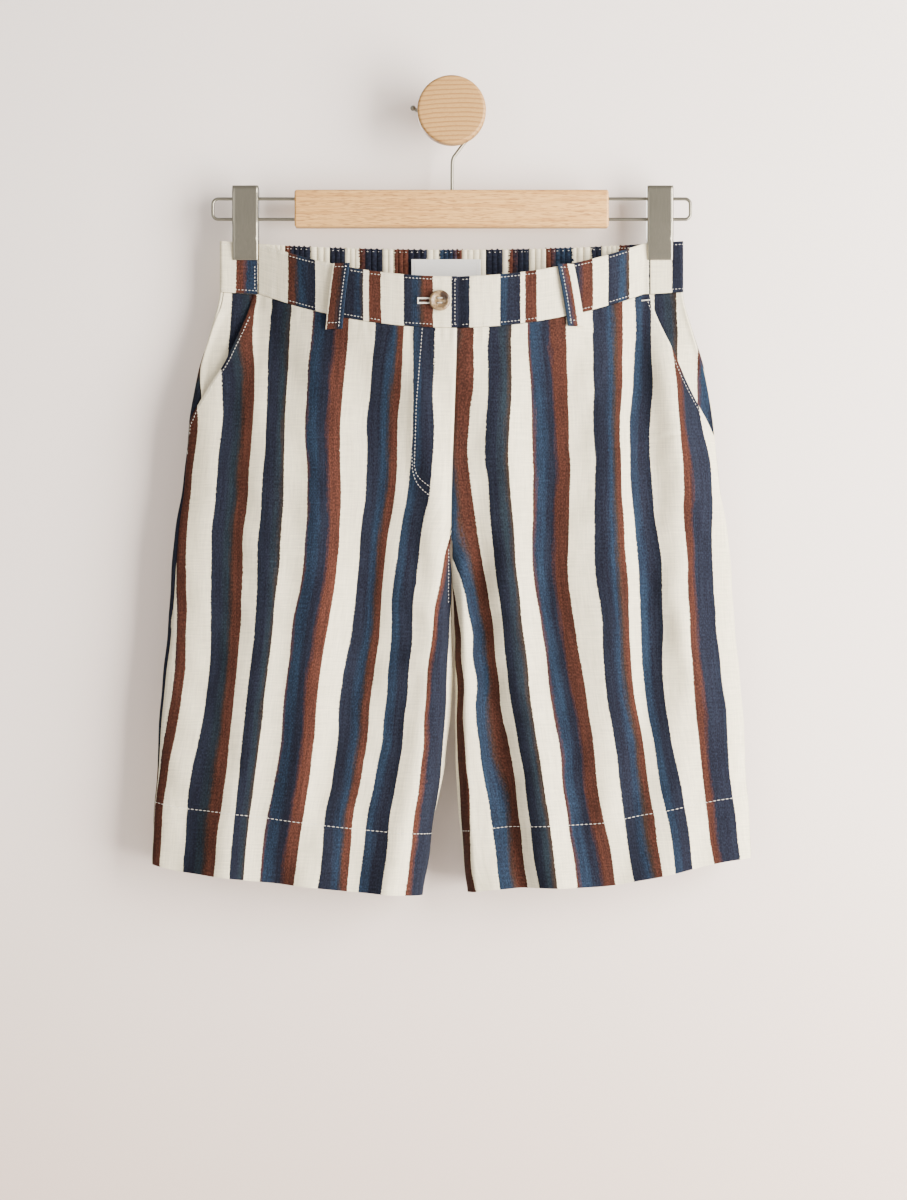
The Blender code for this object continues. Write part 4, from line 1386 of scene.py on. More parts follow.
@dataclass
class Stitches:
    """Rows of sewing thread, gathered from every piece and made as joined meshes."""

    length: float = 1.6
    pitch: float = 2.85
    radius: float = 0.24
    runs: dict[str, list[Array]] = field(default_factory=dict)

    def row(self, group: str, points: Array, normals: Array, length: float | None = None,
            pitch: float | None = None) -> None:
        """Sew along a line of points.

        Args:
            group: name of the piece that the stitches join.
            points: (n, 3) places on the cloth's outer face.
            normals: (n, 3) directions out of it.
            length: length of a stitch, or None for the usual one.
            pitch: distance from one stitch to the next, or None for the usual one.
        """
        length = length or self.length
        pitch = pitch or self.pitch
        along = distances(points)
        count = int((along[-1] - length) / pitch) + 1
        if count < 1:
            return
        starts = np.arange(count) * pitch + (along[-1] - (count - 1) * pitch - length) / 2.0
        made = []
        for start in starts:
            ends = []
            for at in (start, start + length / 2.0, start + length):
                place = np.array([np.interp(at, along, points[:, axis]) for axis in range(3)])
                out = unit(np.array([np.interp(at, along, normals[:, axis]) for axis in range(3)]))
                ends.append(np.concatenate((place, out)))
            made.append(ends)
        self.runs.setdefault(group, []).append(np.array(made))

    def bar(self, group: str, start: Array, end: Array, out: Array, width: float = 1.5,
            count: int = 9) -> None:
        """Sew a bartack: close stitches across a short line.

        Args:
            group: name of the piece that the stitches join.
            start: one end of the bar.
            end: its other end.
            out: direction out of the cloth.
            width: length of each stitch.
            count: number of stitches.
        """
        start, end, out = np.asarray(start, float), np.asarray(end, float), unit(np.asarray(out, float))
        side = unit(np.cross(unit(end - start), out)) * width / 2.0
        made = []
        for step in range(count):
            middle = mix(start, end, step / (count - 1)) + out * 0.1
            made.append([np.concatenate((middle + side * sign, out)) for sign in (-1.0, 0.0, 1.0)])
        self.runs.setdefault(group, []).append(np.array(made))

    def stitch(self) -> tuple[Array, list[tuple[int, ...]]]:
        """Model one stitch: a short drop of thread, thick in its middle.

        Returns:
            Its vertices, along X from 0 to 1 and out along Z, and its faces.
        """
        deselect()
        bpy.ops.mesh.primitive_uv_sphere_add(segments=6, ring_count=6, radius=1.0,
                                             rotation=(0.0, math.pi / 2.0, 0.0))
        piece = named("one_stitch")
        settle(piece)
        places = np.array([vertex.co[:] for vertex in piece.data.vertices])
        faces = [tuple(face.vertices) for face in piece.data.polygons]
        bpy.data.objects.remove(piece, do_unlink=True)
        places[:, 0] = (places[:, 0] + 1.0) / 2.0
        places[:, 1:] *= self.radius
        places[:, 2] = places[:, 2] * 0.85 + self.radius * 1.5 * np.sin(math.pi * places[:, 0]) - 0.12
        return places, faces

    def make(self, material: Material) -> None:
        """Build one mesh of stitches for each group, all copies of one stitch.

        Args:
            material: finish of the thread.
        """
        shape, sides = self.stitch()
        for group, runs in self.runs.items():
            sewn = np.concatenate(runs)
            start, middle, end = sewn[:, 0, :3], sewn[:, 1, :3], sewn[:, 2, :3]
            run = unit(end - start)
            aside = unit(np.cross(sewn[:, 1, 3:], run))
            out = np.cross(run, aside)
            along = shape[:, 0][None, :, None]
            bend = (middle - (start + end) / 2.0)[:, None, :] * np.sin(math.pi * along)
            points = (start[:, None, :] + (end - start)[:, None, :] * along + bend
                      + aside[:, None, :] * shape[:, 1][None, :, None]
                      + out[:, None, :] * shape[:, 2][None, :, None])
            faces = [tuple(index + number * len(shape) for index in face)
                     for number in range(len(sewn)) for face in sides]
            deselect()
            bpy.ops.mesh.primitive_plane_add(size=1.0)
            piece = named(group)
            mesh = bpy.data.meshes.new(group)
            mesh.from_pydata((points.reshape(-1, 3) * MM).tolist(), [], faces)
            mesh.shade_smooth()
            piece.data = mesh
            recalculate(piece, 0.0)
            dress(piece, material, "striped_linen")


def on_face(points: Array, normals: Array, path: Sequence[Pair]) -> tuple[Array, Array]:
    """Places on a hung face along a path given by X and height.

    Args:
        points: (rows, columns, 3) places of the face.
        normals: (rows, columns, 3) its normals.
        path: (x, height) corners of the path.

    Returns:
        Places and normals, about a millimetre apart.
    """
    corners = np.array(path, float)
    along = distances(corners)
    at = np.linspace(0.0, along[-1], int(along[-1]) + 2)
    x, height = (np.interp(at, along, corners[:, axis]) for axis in (0, 1))
    flat_points, flat_normals = points.reshape(-1, 3), normals.reshape(-1, 3)
    away = (flat_points[None, :, 0] - x[:, None]) ** 2 + (flat_points[None, :, 2] - height[:, None]) ** 2
    near = away.argmin(axis=1)
    base, out = flat_points[near], flat_normals[near]
    depth = base[:, 1] - (out[:, 0] * (x - base[:, 0]) + out[:, 2] * (height - base[:, 2])) / out[:, 1]
    return np.stack((x, depth, height), axis=-1), out


# Cloth pieces

@dataclass
class LegPanels:
    """Front and back panels of both legs."""

    form: ClothForm
    stitches: Stitches
    finishes: dict[Side, Material]
    front_columns: int = 112
    back_columns: int = 200
    rows: int = 180
    cloth: float = 1.9
    body_share: float = 0.5
    hem_depth: float = 52.0
    leg_length: float = 477.0
    fly_width: float = 34.0
    fly_foot: float = -304.0
    fly_step: float = 0.8
    pocket_gape: float = 2.2
    gather: float = 1.3
    gather_fall: float = 95.0
    gather_turn: float = 0.45
    gathers: int = 30
    hem_stitch: float = 2.7
    hem_pitch: float = 3.6
    pocket_inset: float = 3.2
    pocket_sewn: dict[Side, float] = field(
        default_factory=lambda: {Side.RIGHT: -165.0, Side.LEFT: -151.0})
    front_origin: dict[Side, float] = field(
        default_factory=lambda: {Side.RIGHT: -235.8, Side.LEFT: -3.9})
    back_origin: dict[Side, float] = field(
        default_factory=lambda: {Side.RIGHT: -34.6, Side.LEFT: -63.4})
    back_tilt: float = 0.06
    tilt_height: float = -433.0
    crumple: float = 0.9
    sway: float = 1.8
    ripple: float = 0.275
    drag: float = 1.0
    roll: float = 0.55

    def drops(self) -> Array:
        """Drops of the rows."""
        return np.linspace(0.0, 1.0, self.rows + 1)

    def hem_drop(self) -> float:
        """Drop of the line along which the hem is sewn."""
        return 1.0 - self.hem_depth / self.leg_length

    def pattern(self, points: Array, side: Side, anchor: int, direction: float, origin: float,
                shift: float) -> Array:
        """Places on the flat cloth, with the lean of the stripes taken out.

        Args:
            points: places of the hung panel.
            side: leg.
            anchor: column whose X is kept.
            direction: way that the columns run along X.
            origin: X at which the chart starts.
            shift: shift along the cloth, which gives each panel its own stretch of print.

        Returns:
            The pattern's places.
        """
        made = flat_cloth(points, anchor, direction)
        away, height = np.abs(points[..., 0]), points[..., 2]
        keys = np.array([row.height for row in LEAN[side][::-1]])
        shifts = np.array([row.shifts for row in LEAN[side][::-1]])
        near, lean = None, 0.0
        for number, mark in enumerate(LEAN_MARKS):
            far = curve(keys, shifts[:, number], height)
            lean = far if near is None else lean + (far - near) * np.clip(
                (away - LEAN_MARKS[number - 1]) / (mark - LEAN_MARKS[number - 1]), 0.0, 1.0)
            near = far
        made[..., 0] -= lean + origin
        made[..., 1] += shift
        return made

    def creases(self, side: Side, points: Array, turn: Array, drop: Array) -> Array:
        """Height of the soft creases of a panel, which fade out at its edges.

        Args:
            side: leg.
            points: places of the panel.
            turn: its turns.
            drop: its drops.

        Returns:
            The heights.
        """
        x, z = points[..., 0] * side.value, points[..., 2]
        inner = (1.0 - np.cos(turn)) / 2.0
        soft = self.crumple * waves(x, z, CRUMPLE) * ease(0.0, 0.12, drop)
        sway = self.sway * waves(x, z, BROAD) * ease(0.0, 0.16, drop)
        soft = soft + sway * np.sin(math.pi * inner) ** 0.5
        ripple = self.ripple * np.sin(2.0 * math.pi * x / 31.0 + 0.016 * z + 1.3 * side.value)
        soft = soft + ripple * ease(0.02, 0.10, drop) * ease(0.62, 0.25, drop)
        bearing = np.arctan2(x - 2.0, z - self.form.crotch + 26.0)
        reach = np.hypot(x - 2.0, z - self.form.crotch + 26.0)
        drag = np.sin(9.0 * bearing + 0.7) * hump(reach - 58.0, 52.0) * ease(14.0, 40.0, reach)
        soft = soft + self.drag * drag * ease(1.0, 0.75, inner)
        line = (drop - self.hem_drop()) * self.leg_length
        pucker = np.sin(2.0 * math.pi * (x + 0.35 * line) / 7.3 + 1.1 * np.sin(x / 19.0))
        soft = soft + 0.16 * pucker * hump(line, 7.0) - 0.28 * hump(line, 1.6)
        return soft

    def make_front(self, side: Side) -> None:
        """Front panel, from the waistband to the hem, cut away at the pocket's mouth.

        Args:
            side: leg.
        """
        form = self.form
        drop = np.repeat(self.drops()[:, None], self.front_columns + 1, axis=1)
        start = form.front_turn(side, self.drops())[:, None]
        across = np.linspace(0.0, 1.0, self.front_columns + 1)[None, :]
        turn = mix(start, math.pi - form.seam_turn, across)
        place = form.ring(side, turn, drop)
        normal = grid_normals(place) * side.value
        proud = np.zeros_like(drop)
        if side is Side.RIGHT:
            gap = np.abs(place[..., 0] - read(INSIDE_EDGE, "right", place[..., 2]))
            curl = 0.012 * np.maximum(-290.0 - place[..., 2], 0.0) ** 2
            fly = ease(self.fly_width + 3.0, self.fly_width, gap + curl)
            proud += self.fly_step * fly * ease(self.fly_foot - 14.0, self.fly_foot, place[..., 2])
        along = (form.pocket_top - place[..., 2]) / (form.pocket_top - form.pocket_foot)
        mouth = read(POCKET, side.word, place[..., 2]) - np.abs(place[..., 0])
        gape = self.pocket_gape * np.sin(math.pi * np.clip(along, 0.0, 1.0)) * ease(32.0, 0.0, mouth)
        proud += np.where(place[..., 2] > form.pocket_foot, gape, 0.0)
        proud += self.creases(side, place, turn, drop) * ease(0.0, 0.03, drop)
        dimples = 0.22 * np.sin(2.0 * math.pi * place[..., 0] / 8.1 + np.sin(place[..., 0] / 17.0))
        proud += dimples * hump(drop * self.leg_length - 5.0, 7.0)
        points = self.roll_edges(place + normal * proud[..., None], normal)
        shift = 0.0 if side is Side.RIGHT else 700.0
        middle = self.front_columns // 2
        pattern = self.pattern(points, side, middle, -side.value, self.front_origin[side], shift)
        self.finish(side, Face.FRONT, points, pattern)
        self.sew_hem(side, Face.FRONT, points, normal)
        self.sew_front(side, points, normal)

    def make_back(self, side: Side) -> None:
        """Back panel, gathered under the elastic, which wraps round to the side seam.

        Args:
            side: leg.
        """
        form = self.form
        drop = np.repeat(self.drops()[:, None], self.back_columns + 1, axis=1)
        end = form.side_seam(side, self.drops())[:, None]
        across = np.linspace(0.0, 1.0, self.back_columns + 1)[None, :]
        turn = mix(-math.pi + form.seam_turn, end, across)
        place = form.ring(side, turn, drop)
        normal = grid_normals(place) * side.value
        fall = form.waist_edge(place[..., 0], turn > 0.0) - place[..., 2]
        fade = ease(self.gather_fall, 0.0, fall)
        fade = fade * ease(self.gather_turn, 2.0 * self.gather_turn, -turn)
        fade = fade * ease(0.0, self.gather_turn, math.pi + turn)
        beat = self.gathers * np.abs(turn) / math.pi
        beat = beat + 0.5 * np.sin(0.9 * self.gathers * np.abs(turn) / math.pi) * ease(0.0, 60.0, fall)
        deep = 0.5 + 0.5 * np.sin(2.0 * math.pi * beat)
        proud = (self.gather * fade * (1.4 * deep ** 1.3 - 0.4)
                 + self.creases(side, place, turn, drop) * ease(0.0, 0.03, drop))
        points = self.roll_edges(place + normal * proud[..., None], normal)
        shift = 1400.0 if side is Side.RIGHT else 2100.0
        anchor = int(np.argmin(np.abs(turn[self.rows // 2] + math.pi / 2.0)))
        pattern = self.pattern(points, side, anchor, side.value, self.back_origin[side], shift)
        pattern[..., 0] += side.value * self.back_tilt * (points[..., 2] - self.tilt_height)
        self.finish(side, Face.BACK, points, pattern)
        self.sew_hem(side, Face.BACK, points, normal)

    def roll_edges(self, points: Array, normal: Array) -> Array:
        """Turn the long edges of a panel slightly inwards, as at a pressed seam.

        Args:
            points: places of the panel.
            normal: its normals.

        Returns:
            The new places.
        """
        along = distances(points)
        dip = hump(along, 1.3) + hump(along[:, -1:] - along, 1.3)
        return points - normal * (dip * self.roll)[..., None]

    def finish(self, side: Side, face: Face, points: Array, pattern: Array) -> None:
        """Args:
            side: leg.
            face: front or back.
            points: places of the outer face.
            pattern: places on the print.
        """
        hem = self.hem_drop()
        share = mix(self.body_share, 1.0, ease(hem - 0.004, hem + 0.001, self.drops()))
        share = np.repeat(share[:, None], points.shape[1], axis=1)
        piece = sheet_from_grid("leg_%s_%s" % (face.value, side.word), points, pattern, self.cloth,
                                side.value, share)
        node = "%s_%s" % (face.value, side.word)
        dress(piece, self.finishes[side], "striped_linen", node)

    def sew_hem(self, side: Side, face: Face, points: Array, normal: Array) -> None:
        """Hem stitching of a panel, along a line between two rows of its grid.

        Args:
            side: leg.
            face: front or back.
            points: places of the panel.
            normal: its normals.
        """
        row = self.rows * self.hem_drop()
        low = int(row)
        line, out = (mix(grid[low], grid[low + 1], row - low) for grid in (points, normal))
        self.stitches.row("stitches_%s_%s" % (face.value, side.word), line, out, self.hem_stitch,
                          self.hem_pitch)

    def sew_front(self, side: Side, points: Array, normal: Array) -> None:
        """Pocket, fly and crotch stitching of a front panel.

        Args:
            side: leg.
            points: places of the panel.
            normal: its normals.
        """
        group = "stitches_front_%s" % side.word
        height = points[:, 0, 2]
        rows = np.nonzero((height > self.form.pocket_foot) & (height < self.pocket_sewn[side]))[0]
        along = np.linalg.norm(points - points[:, :1], axis=-1)
        at = [int(np.argmin(np.abs(along[row] - self.pocket_inset))) for row in rows]
        self.stitches.row(group, points[rows, at], normal[rows, at])
        if side is Side.RIGHT:
            for path in (*FLY_ROWS, CROTCH_ROW):
                self.stitches.row(group, *on_face(points, normal, path))
        for start, end in RIGHT_BARS if side is Side.RIGHT else LEFT_BARS:
            self.tack(group, points, normal, start, end)

    def tack(self, group: str, points: Array, normal: Array, start: Pair, end: Pair) -> None:
        """Bartack on a panel, between two places given by X and height.

        Args:
            group: name of the piece that it joins.
            points: places of the panel.
            normal: its normals.
            start: one end of the bar.
            end: its other end.
        """
        ends, out = on_face(points, normal, (start, end))
        self.stitches.bar(group, ends[0], ends[-1], out[len(out) // 2], 1.3,
                          max(int(math.dist(start, end) / 0.55), 4))

    def make(self) -> None:
        """Build all four panels."""
        for side in Side:
            self.make_front(side)
            self.make_back(side)


@dataclass
class PocketFacings:
    """Hip pieces that show inside the pockets' mouths."""

    form: ClothForm
    finishes: dict[Side, Material]
    depth: float = 1.7
    sink: float = 0.9
    cloth: float = 1.0
    under: float = 0.33
    drop: float = 0.32
    columns: int = 30
    rows: int = 60
    origin: dict[Side, float] = field(default_factory=lambda: {Side.RIGHT: -253.6, Side.LEFT: 113.7})

    def make(self) -> None:
        """Build the facing of each side."""
        form = self.form
        for side in Side:
            drops = np.linspace(0.0, self.drop, self.rows + 1)
            start = form.side_seam(side, drops) + 3.0 * form.seam_turn
            end = form.front_turn(side, drops) + self.under
            share = np.linspace(0.0, 1.0, self.columns + 1)[None, :]
            turn = mix(start[:, None], end[:, None], share)
            place = form.ring(side, turn, np.repeat(drops[:, None], self.columns + 1, axis=1))
            normal = grid_normals(place) * side.value
            sunk = self.depth + self.sink * ease(0.0, 0.12, drops)[:, None]
            sunk = sunk * mix(0.2, 1.0, ease(0.0, 0.3, share))
            points = place - normal * sunk[..., None]
            pattern = flat_cloth(points, self.columns, -side.value)
            pattern[..., 0] -= self.origin[side]
            name = "pocket_inside_%s" % side.word
            piece = sheet_from_grid(name, points, pattern, self.cloth, side.value)
            dress(piece, self.finishes[side], "striped_linen", "pocket_facing_%s" % side.word)


@dataclass
class Waistband:
    """The two front bands, the elasticated back band, the belt loops and the blank label."""

    form: ClothForm
    stitches: Stitches
    finishes: dict[Side, Material]
    back_finish: Material
    loop_finish: Material
    label_finish: Material
    right_seam: float = -158.7
    left_seam: float = 162.8
    lap_edge: float = 4.9
    underlap: float = 27.0
    gathers: int = 84
    gather_depth: float = 1.0
    gather_end: float = 156.0
    columns: int = 150
    rows: int = 16
    gather_steps: int = 8
    loop_width: float = 13.8
    loop_wall: float = 1.4
    loop_lift: float = 1.6
    loop_sewn: float = 0.32
    loop_origins: Pair = (13.7, 29.1)
    back_loop_top: float = -112.0
    back_loop_length: float = 52.0
    label_x: float = -4.5
    label_width: float = 57.0
    label_top: float = -119.4
    label_height: float = 27.0
    label_wall: float = 0.9
    stitch_inset: float = 2.6
    jaw_fall: float = 17.5

    def pucker(self, x: Array, share: Array) -> Array:
        """Small dimples along the two rows of topstitching."""
        wave = np.sin(2.0 * math.pi * x / 9.4 + 1.7 * np.sin(x / 23.0))
        return 0.14 * wave * (hump(share - 0.06, 0.14) + hump(share - 0.94, 0.14))

    def front(self, side: Side) -> None:
        """Half of the front waistband.

        Args:
            side: the half's side.
        """
        form = self.form
        share = np.linspace(0.0, 1.0, self.columns + 1)
        if side is Side.RIGHT:
            x = mix(self.right_seam + form.seam_gap, self.lap_edge, share)
        else:
            x = mix(self.lap_edge - self.underlap, self.left_seam - form.seam_gap, share)
        x = np.repeat(x[None, :], self.rows + 1, axis=0)
        down = np.repeat(np.linspace(0.0, 1.0, self.rows + 1)[:, None], self.columns + 1, axis=1)
        out = self.pucker(x, down)
        if side is Side.LEFT:
            under = ease(self.lap_edge + 12.0, self.lap_edge + 0.5, x)
            out = out - (form.band_wall + form.seam_gap) * under
        height = form.band_top(x, True) - form.band_height * down
        points = form.front_band(x, height, out)
        start = self.right_seam if side is Side.RIGHT else self.lap_edge - self.underlap
        pattern = np.stack((x - start, 60.0 * side.value - form.band_height * down), axis=-1)
        name = "waistband_%s_half" % side.word
        piece = sheet_from_grid(name, points, pattern, form.band_wall - 0.2, -1.0, round_off=0.75)
        dress(piece, self.finishes[side], "striped_linen", "waistband_front_%s" % side.word)
        self.sew_front(side, x[0], out)

    def sew_front(self, side: Side, x: Array, out: Array) -> None:
        """Topstitching round a front band.

        Args:
            side: the half's side.
            x: places across.
            out: distances out of its rows.
        """
        form = self.form
        group = "stitches_waistband_%s" % side.word
        shown = x if side is Side.RIGHT else x[x > self.lap_edge + 1.5]
        lift = out[0] if side is Side.RIGHT else out[0][x > self.lap_edge + 1.5]
        for fall in (self.stitch_inset, form.band_height - self.stitch_inset):
            height = form.band_top(shown, True) - fall
            points = form.front_band(shown, height, lift)
            normals = unit(form.front_band(shown, height, lift + 1.0) - points)
            self.stitches.row(group, points, normals)
        lap = side is Side.RIGHT
        first = self.stitch_inset if lap else self.jaw_fall
        falls = np.linspace(first, form.band_height - self.stitch_inset, 12)
        edge = np.full_like(falls, (self.lap_edge if lap else self.left_seam) - 2.2)
        points = form.front_band(edge, form.band_top(edge, True) - falls, np.zeros_like(edge))
        self.stitches.row(group, points, forwards(len(falls)))

    def back_path(self) -> tuple[Array, Array, Array]:
        """Columns of the back band, from the right side seam round the back to the left one.

        Returns:
            (n, 2) places as X and Y, (n, 2) normals, and n places along the print.
        """
        form = self.form
        end, pinch = form.waist_half - form.band_pinch, form.band_pinch
        front, back = form.clip_plane - pinch, form.clip_plane + pinch
        right, left = self.right_seam - form.seam_gap, self.left_seam + form.seam_gap
        turn = math.pi * pinch
        stub = np.linspace(0.0, 1.0, 16, endpoint=False)
        last = np.append(stub, 1.0)
        fold = np.linspace(0.0, math.pi, 12, endpoint=False)
        x = np.linspace(-end, end, self.gathers * self.gather_steps, endpoint=False)
        fade = ease(self.gather_end, self.gather_end - 30.0, np.abs(x))
        beat = self.gathers * (x + end) / (2.0 * end) + 0.22 * np.sin(x / 7.0) + 0.18 * np.sin(x / 11.3)
        wave = self.gather_depth * fade * np.sin(2.0 * math.pi * beat) * (0.8 + 0.2 * np.sin(x / 5.1))
        parts = [
            (mix(right, -end, stub), front + 0.0 * stub, 0.0 * stub, 0.0 * stub - 1.0,
             (right + end) * stub),
            (-end - pinch * np.sin(fold), form.clip_plane - pinch * np.cos(fold), -np.sin(fold),
             -np.cos(fold), right + end + pinch * fold),
            (x, back + wave, 0.0 * x, 0.0 * x + 1.0, right + 2.0 * end + turn + x),
            (end + pinch * np.sin(fold), form.clip_plane + pinch * np.cos(fold), np.sin(fold),
             np.cos(fold), right + 3.0 * end + turn + pinch * fold),
            (mix(end, left, last), front + 0.0 * last, 0.0 * last, 0.0 * last - 1.0,
             right + 3.0 * end + 2.0 * turn + (end - left) * last)]
        table = np.concatenate([np.stack(part, axis=1) for part in parts])
        return table[:, :2], table[:, 2:4], table[:, 4]

    def back(self) -> None:
        """Elasticated back band."""
        form = self.form
        path, normal, along = self.back_path()
        down = np.linspace(0.0, 1.0, self.rows + 1)[:, None]
        height = form.band_top(path[:, 0], False)[None, :] - form.band_height * down
        ripple = np.where(normal[:, 1] > 0.99, path[:, 1] - form.clip_plane - form.band_pinch, 0.0)
        height = height + 0.7 * ripple[None, :] * ease(0.25, 0.0, down)
        x = np.repeat(path[None, :, 0], self.rows + 1, axis=0)
        y = np.repeat(path[None, :, 1], self.rows + 1, axis=0)
        points = np.stack((x, y, height), axis=-1)
        pattern = np.stack(np.broadcast_arrays(along[None, :], 300.0 - form.band_height * down), axis=-1)
        piece = sheet_from_grid("waistband_elastic", points, pattern, form.band_wall, 1.0, round_off=0.7)
        dress(piece, self.back_finish, "striped_linen", "waistband_back")
        out = np.concatenate((normal, np.zeros((len(normal), 1))), axis=1)
        inner = (np.abs(path[:, 0]) < form.front_half - 6.0) & (normal[:, 1] > 0.99)
        seam = np.full(12, self.right_seam - 2.6)
        falls = np.linspace(self.jaw_fall, form.band_height - self.stitch_inset, 12)
        place = np.stack((seam, 0.0 * seam + form.clip_plane - form.band_pinch,
                          form.band_top(seam, False) - falls), axis=1)
        self.stitches.row("stitches_elastic", place, forwards(len(place)))
        for fall in (self.stitch_inset, form.band_height - self.stitch_inset):
            place = np.stack((path[:, 0], path[:, 1], form.band_top(path[:, 0], False) - fall), axis=1)
            self.stitches.row("stitches_elastic", place, out)
            inside = (place - out * form.band_wall)[inner]
            self.stitches.row("stitches_elastic", inside, forwards(len(inside)))

    def loops(self) -> None:
        """Two belt loops on the front and one at the centre back."""
        form = self.form
        columns, rows = 14, 52
        across = np.linspace(-0.5, 0.5, columns + 1)[None, :]
        share = np.linspace(0.0, 1.0, rows + 1)[:, None]
        lift = form.seam_gap + self.loop_lift * np.sin(math.pi * share) + self.loop_wall
        crown = lift + 0.25 * np.cos(math.pi * across) + 0.0 * share
        for side, loop, origin in zip(Side, FRONT_LOOPS, self.loop_origins):
            x = mix(loop.top_x, loop.foot_x, share) + self.loop_width * across
            height = mix(loop.top_height, loop.foot_height, share) + 0.0 * across
            pattern = np.stack((origin + self.loop_width * across + 0.0 * share, height), axis=-1)
            self.loop(loop.node, "loop_front_%s" % side.word, form.front_band(x, height, crown), pattern,
                      "waistband_front_%s" % side.word, side.value * -self.loop_sewn)
        x = -self.loop_width * across + 0.0 * share
        y = form.clip_plane + form.band_pinch + 2.0 * self.gather_depth + crown
        height = self.back_loop_top - self.back_loop_length * share + 0.0 * across
        pattern = np.stack((x + 80.0, height), axis=-1)
        self.loop("belt_loop_back", "loop_back", np.stack((x, y, height), axis=-1), pattern,
                  "waistband_back", self.loop_sewn)

    def loop(self, node: str, name: str, points: Array, pattern: Array, band: str, sewn: float) -> None:
        """Mesh, sheet and stitching of one belt loop.

        Args:
            node: solid that it stands for.
            name: name of the piece.
            points: (rows, columns, 3) places of its outer face.
            pattern: (rows, columns, 2) places on the print.
            band: node of the waistband that it is sewn to; not used.
            sewn: place of its topstitching across it, from -0.5 to 0.5.
        """
        piece = sheet_from_grid(name, points, pattern, self.loop_wall, -1.0, round_off=0.4)
        dress(piece, self.loop_finish, "striped_linen", node)
        normal = -grid_normals(points)
        column = int(round((sewn + 0.5) * (points.shape[1] - 1)))
        self.stitches.row("stitches_loops", points[1:-1, column], normal[1:-1, column])
        for row in (3, points.shape[0] - 6):
            self.stitches.row("stitches_loops", points[row, 1:-1], normal[row, 1:-1])

    def label(self) -> None:
        """Blank label on the inside of the back band."""
        form = self.form
        columns, rows = 60, 30
        across = np.linspace(-0.5, 0.5, columns + 1)[None, :]
        share = np.linspace(0.0, 1.0, rows + 1)[:, None]
        face = form.clip_plane + form.band_pinch - self.gather_depth - form.band_wall - form.seam_gap
        bow = (0.5 * np.sin(math.pi * share) * np.cos(math.pi * across)
               + 0.12 * np.sin(9.0 * across + 4.0 * share))
        x = self.label_x + self.label_width * across + 0.0 * share
        y = face - self.label_wall - bow
        height = self.label_top - self.label_height * share + 0.0 * across
        points = np.stack((x, y, height), axis=-1)
        pattern = np.stack((x, height), axis=-1)
        piece = sheet_from_grid("label_blank", points, pattern, self.label_wall, -1.0, round_off=0.3)
        dress(piece, self.label_finish, "label_weave", "waist_label")
        for column in (3, columns - 3):
            self.stitches.row("stitches_label", points[2:-2, column], forwards(rows - 3), pitch=2.3)

    def make(self) -> None:
        """Build the whole waist."""
        self.front(Side.RIGHT)
        self.front(Side.LEFT)
        self.back()
        self.loops()
        self.label()


@dataclass
class Button:
    """Four hole button on the lap of the waistband, sewn on with thread."""

    form: ClothForm
    x: float = -9.5
    height: float = -157.2
    radius: float = 8.5
    thick: float = 3.4
    hole_radius: float = 1.05
    hole_spread: float = 1.95

    def make(self, stitches: Stitches, horn: Material, thread: Material) -> None:
        """Build the button, its buttonhole and the thread through its holes.

        Args:
            stitches: rows to add the buttonhole to.
            horn: finish of the button.
            thread: finish of the thread.
        """
        rim = self.radius
        profile = [(6.2, 0.0), (rim - 0.5, 0.35), (rim - 0.1, 1.0), (rim, 1.8), (rim - 0.25, 2.6),
                   (rim - 0.8, 3.1), (rim - 1.6, self.thick), (rim - 2.3, 3.25), (rim - 2.9, 2.6),
                   (rim - 3.4, 2.0), (rim - 4.2, 1.72), (rim - 5.6, 1.7)]
        button = turned("button_horn", profile, 64)
        for sign_x in (-1.0, 1.0):
            for sign_z in (-1.0, 1.0):
                centre = (sign_x * self.hole_spread, sign_z * self.hole_spread, 1.0)
                cut(button, rod("hole_cutter", self.hole_radius, 8.0, centre, 20, 0.0))
        face = self.form.front_band(np.array(self.x), np.array(self.height), np.array(self.form.seam_gap))
        for rise in (-1.9, 1.9):
            start, end = (face + (across, -0.1, rise) for across in (-17.6, -8.0))
            stitches.bar("stitches_buttonhole", start, end, (0.0, -1.0, 0.0), 1.7, 20)
        start, end = (face + (-17.6, -0.1, rise) for rise in (-2.3, 2.3))
        stitches.bar("stitches_buttonhole", start, end, (0.0, -1.0, 0.0), 1.5, 9)
        button.rotation_euler = (math.pi / 2.0, 0.0, 0.0)
        button.location = Vector(face) * MM
        settle(button)
        smooth(button, 40.0)
        dress(button, horn, "horn", "waist_button")
        strands = []
        arch = ((-1.0, 0.9), (-1.0, 2.0), (0.0, 2.25), (1.0, 2.0), (1.0, 0.9))
        for sign in (-1.0, 1.0):
            for offset in (-0.15, 0.15):
                height = self.height + sign * self.hole_spread + offset
                points = [(self.x + aside * self.hole_spread, face[1] - out, height)
                          for aside, out in arch]
                strands.append(tube("strand", points, 0.12, 8))
        dress(join("button_thread", strands), thread, "horn")


# Hanger and peg

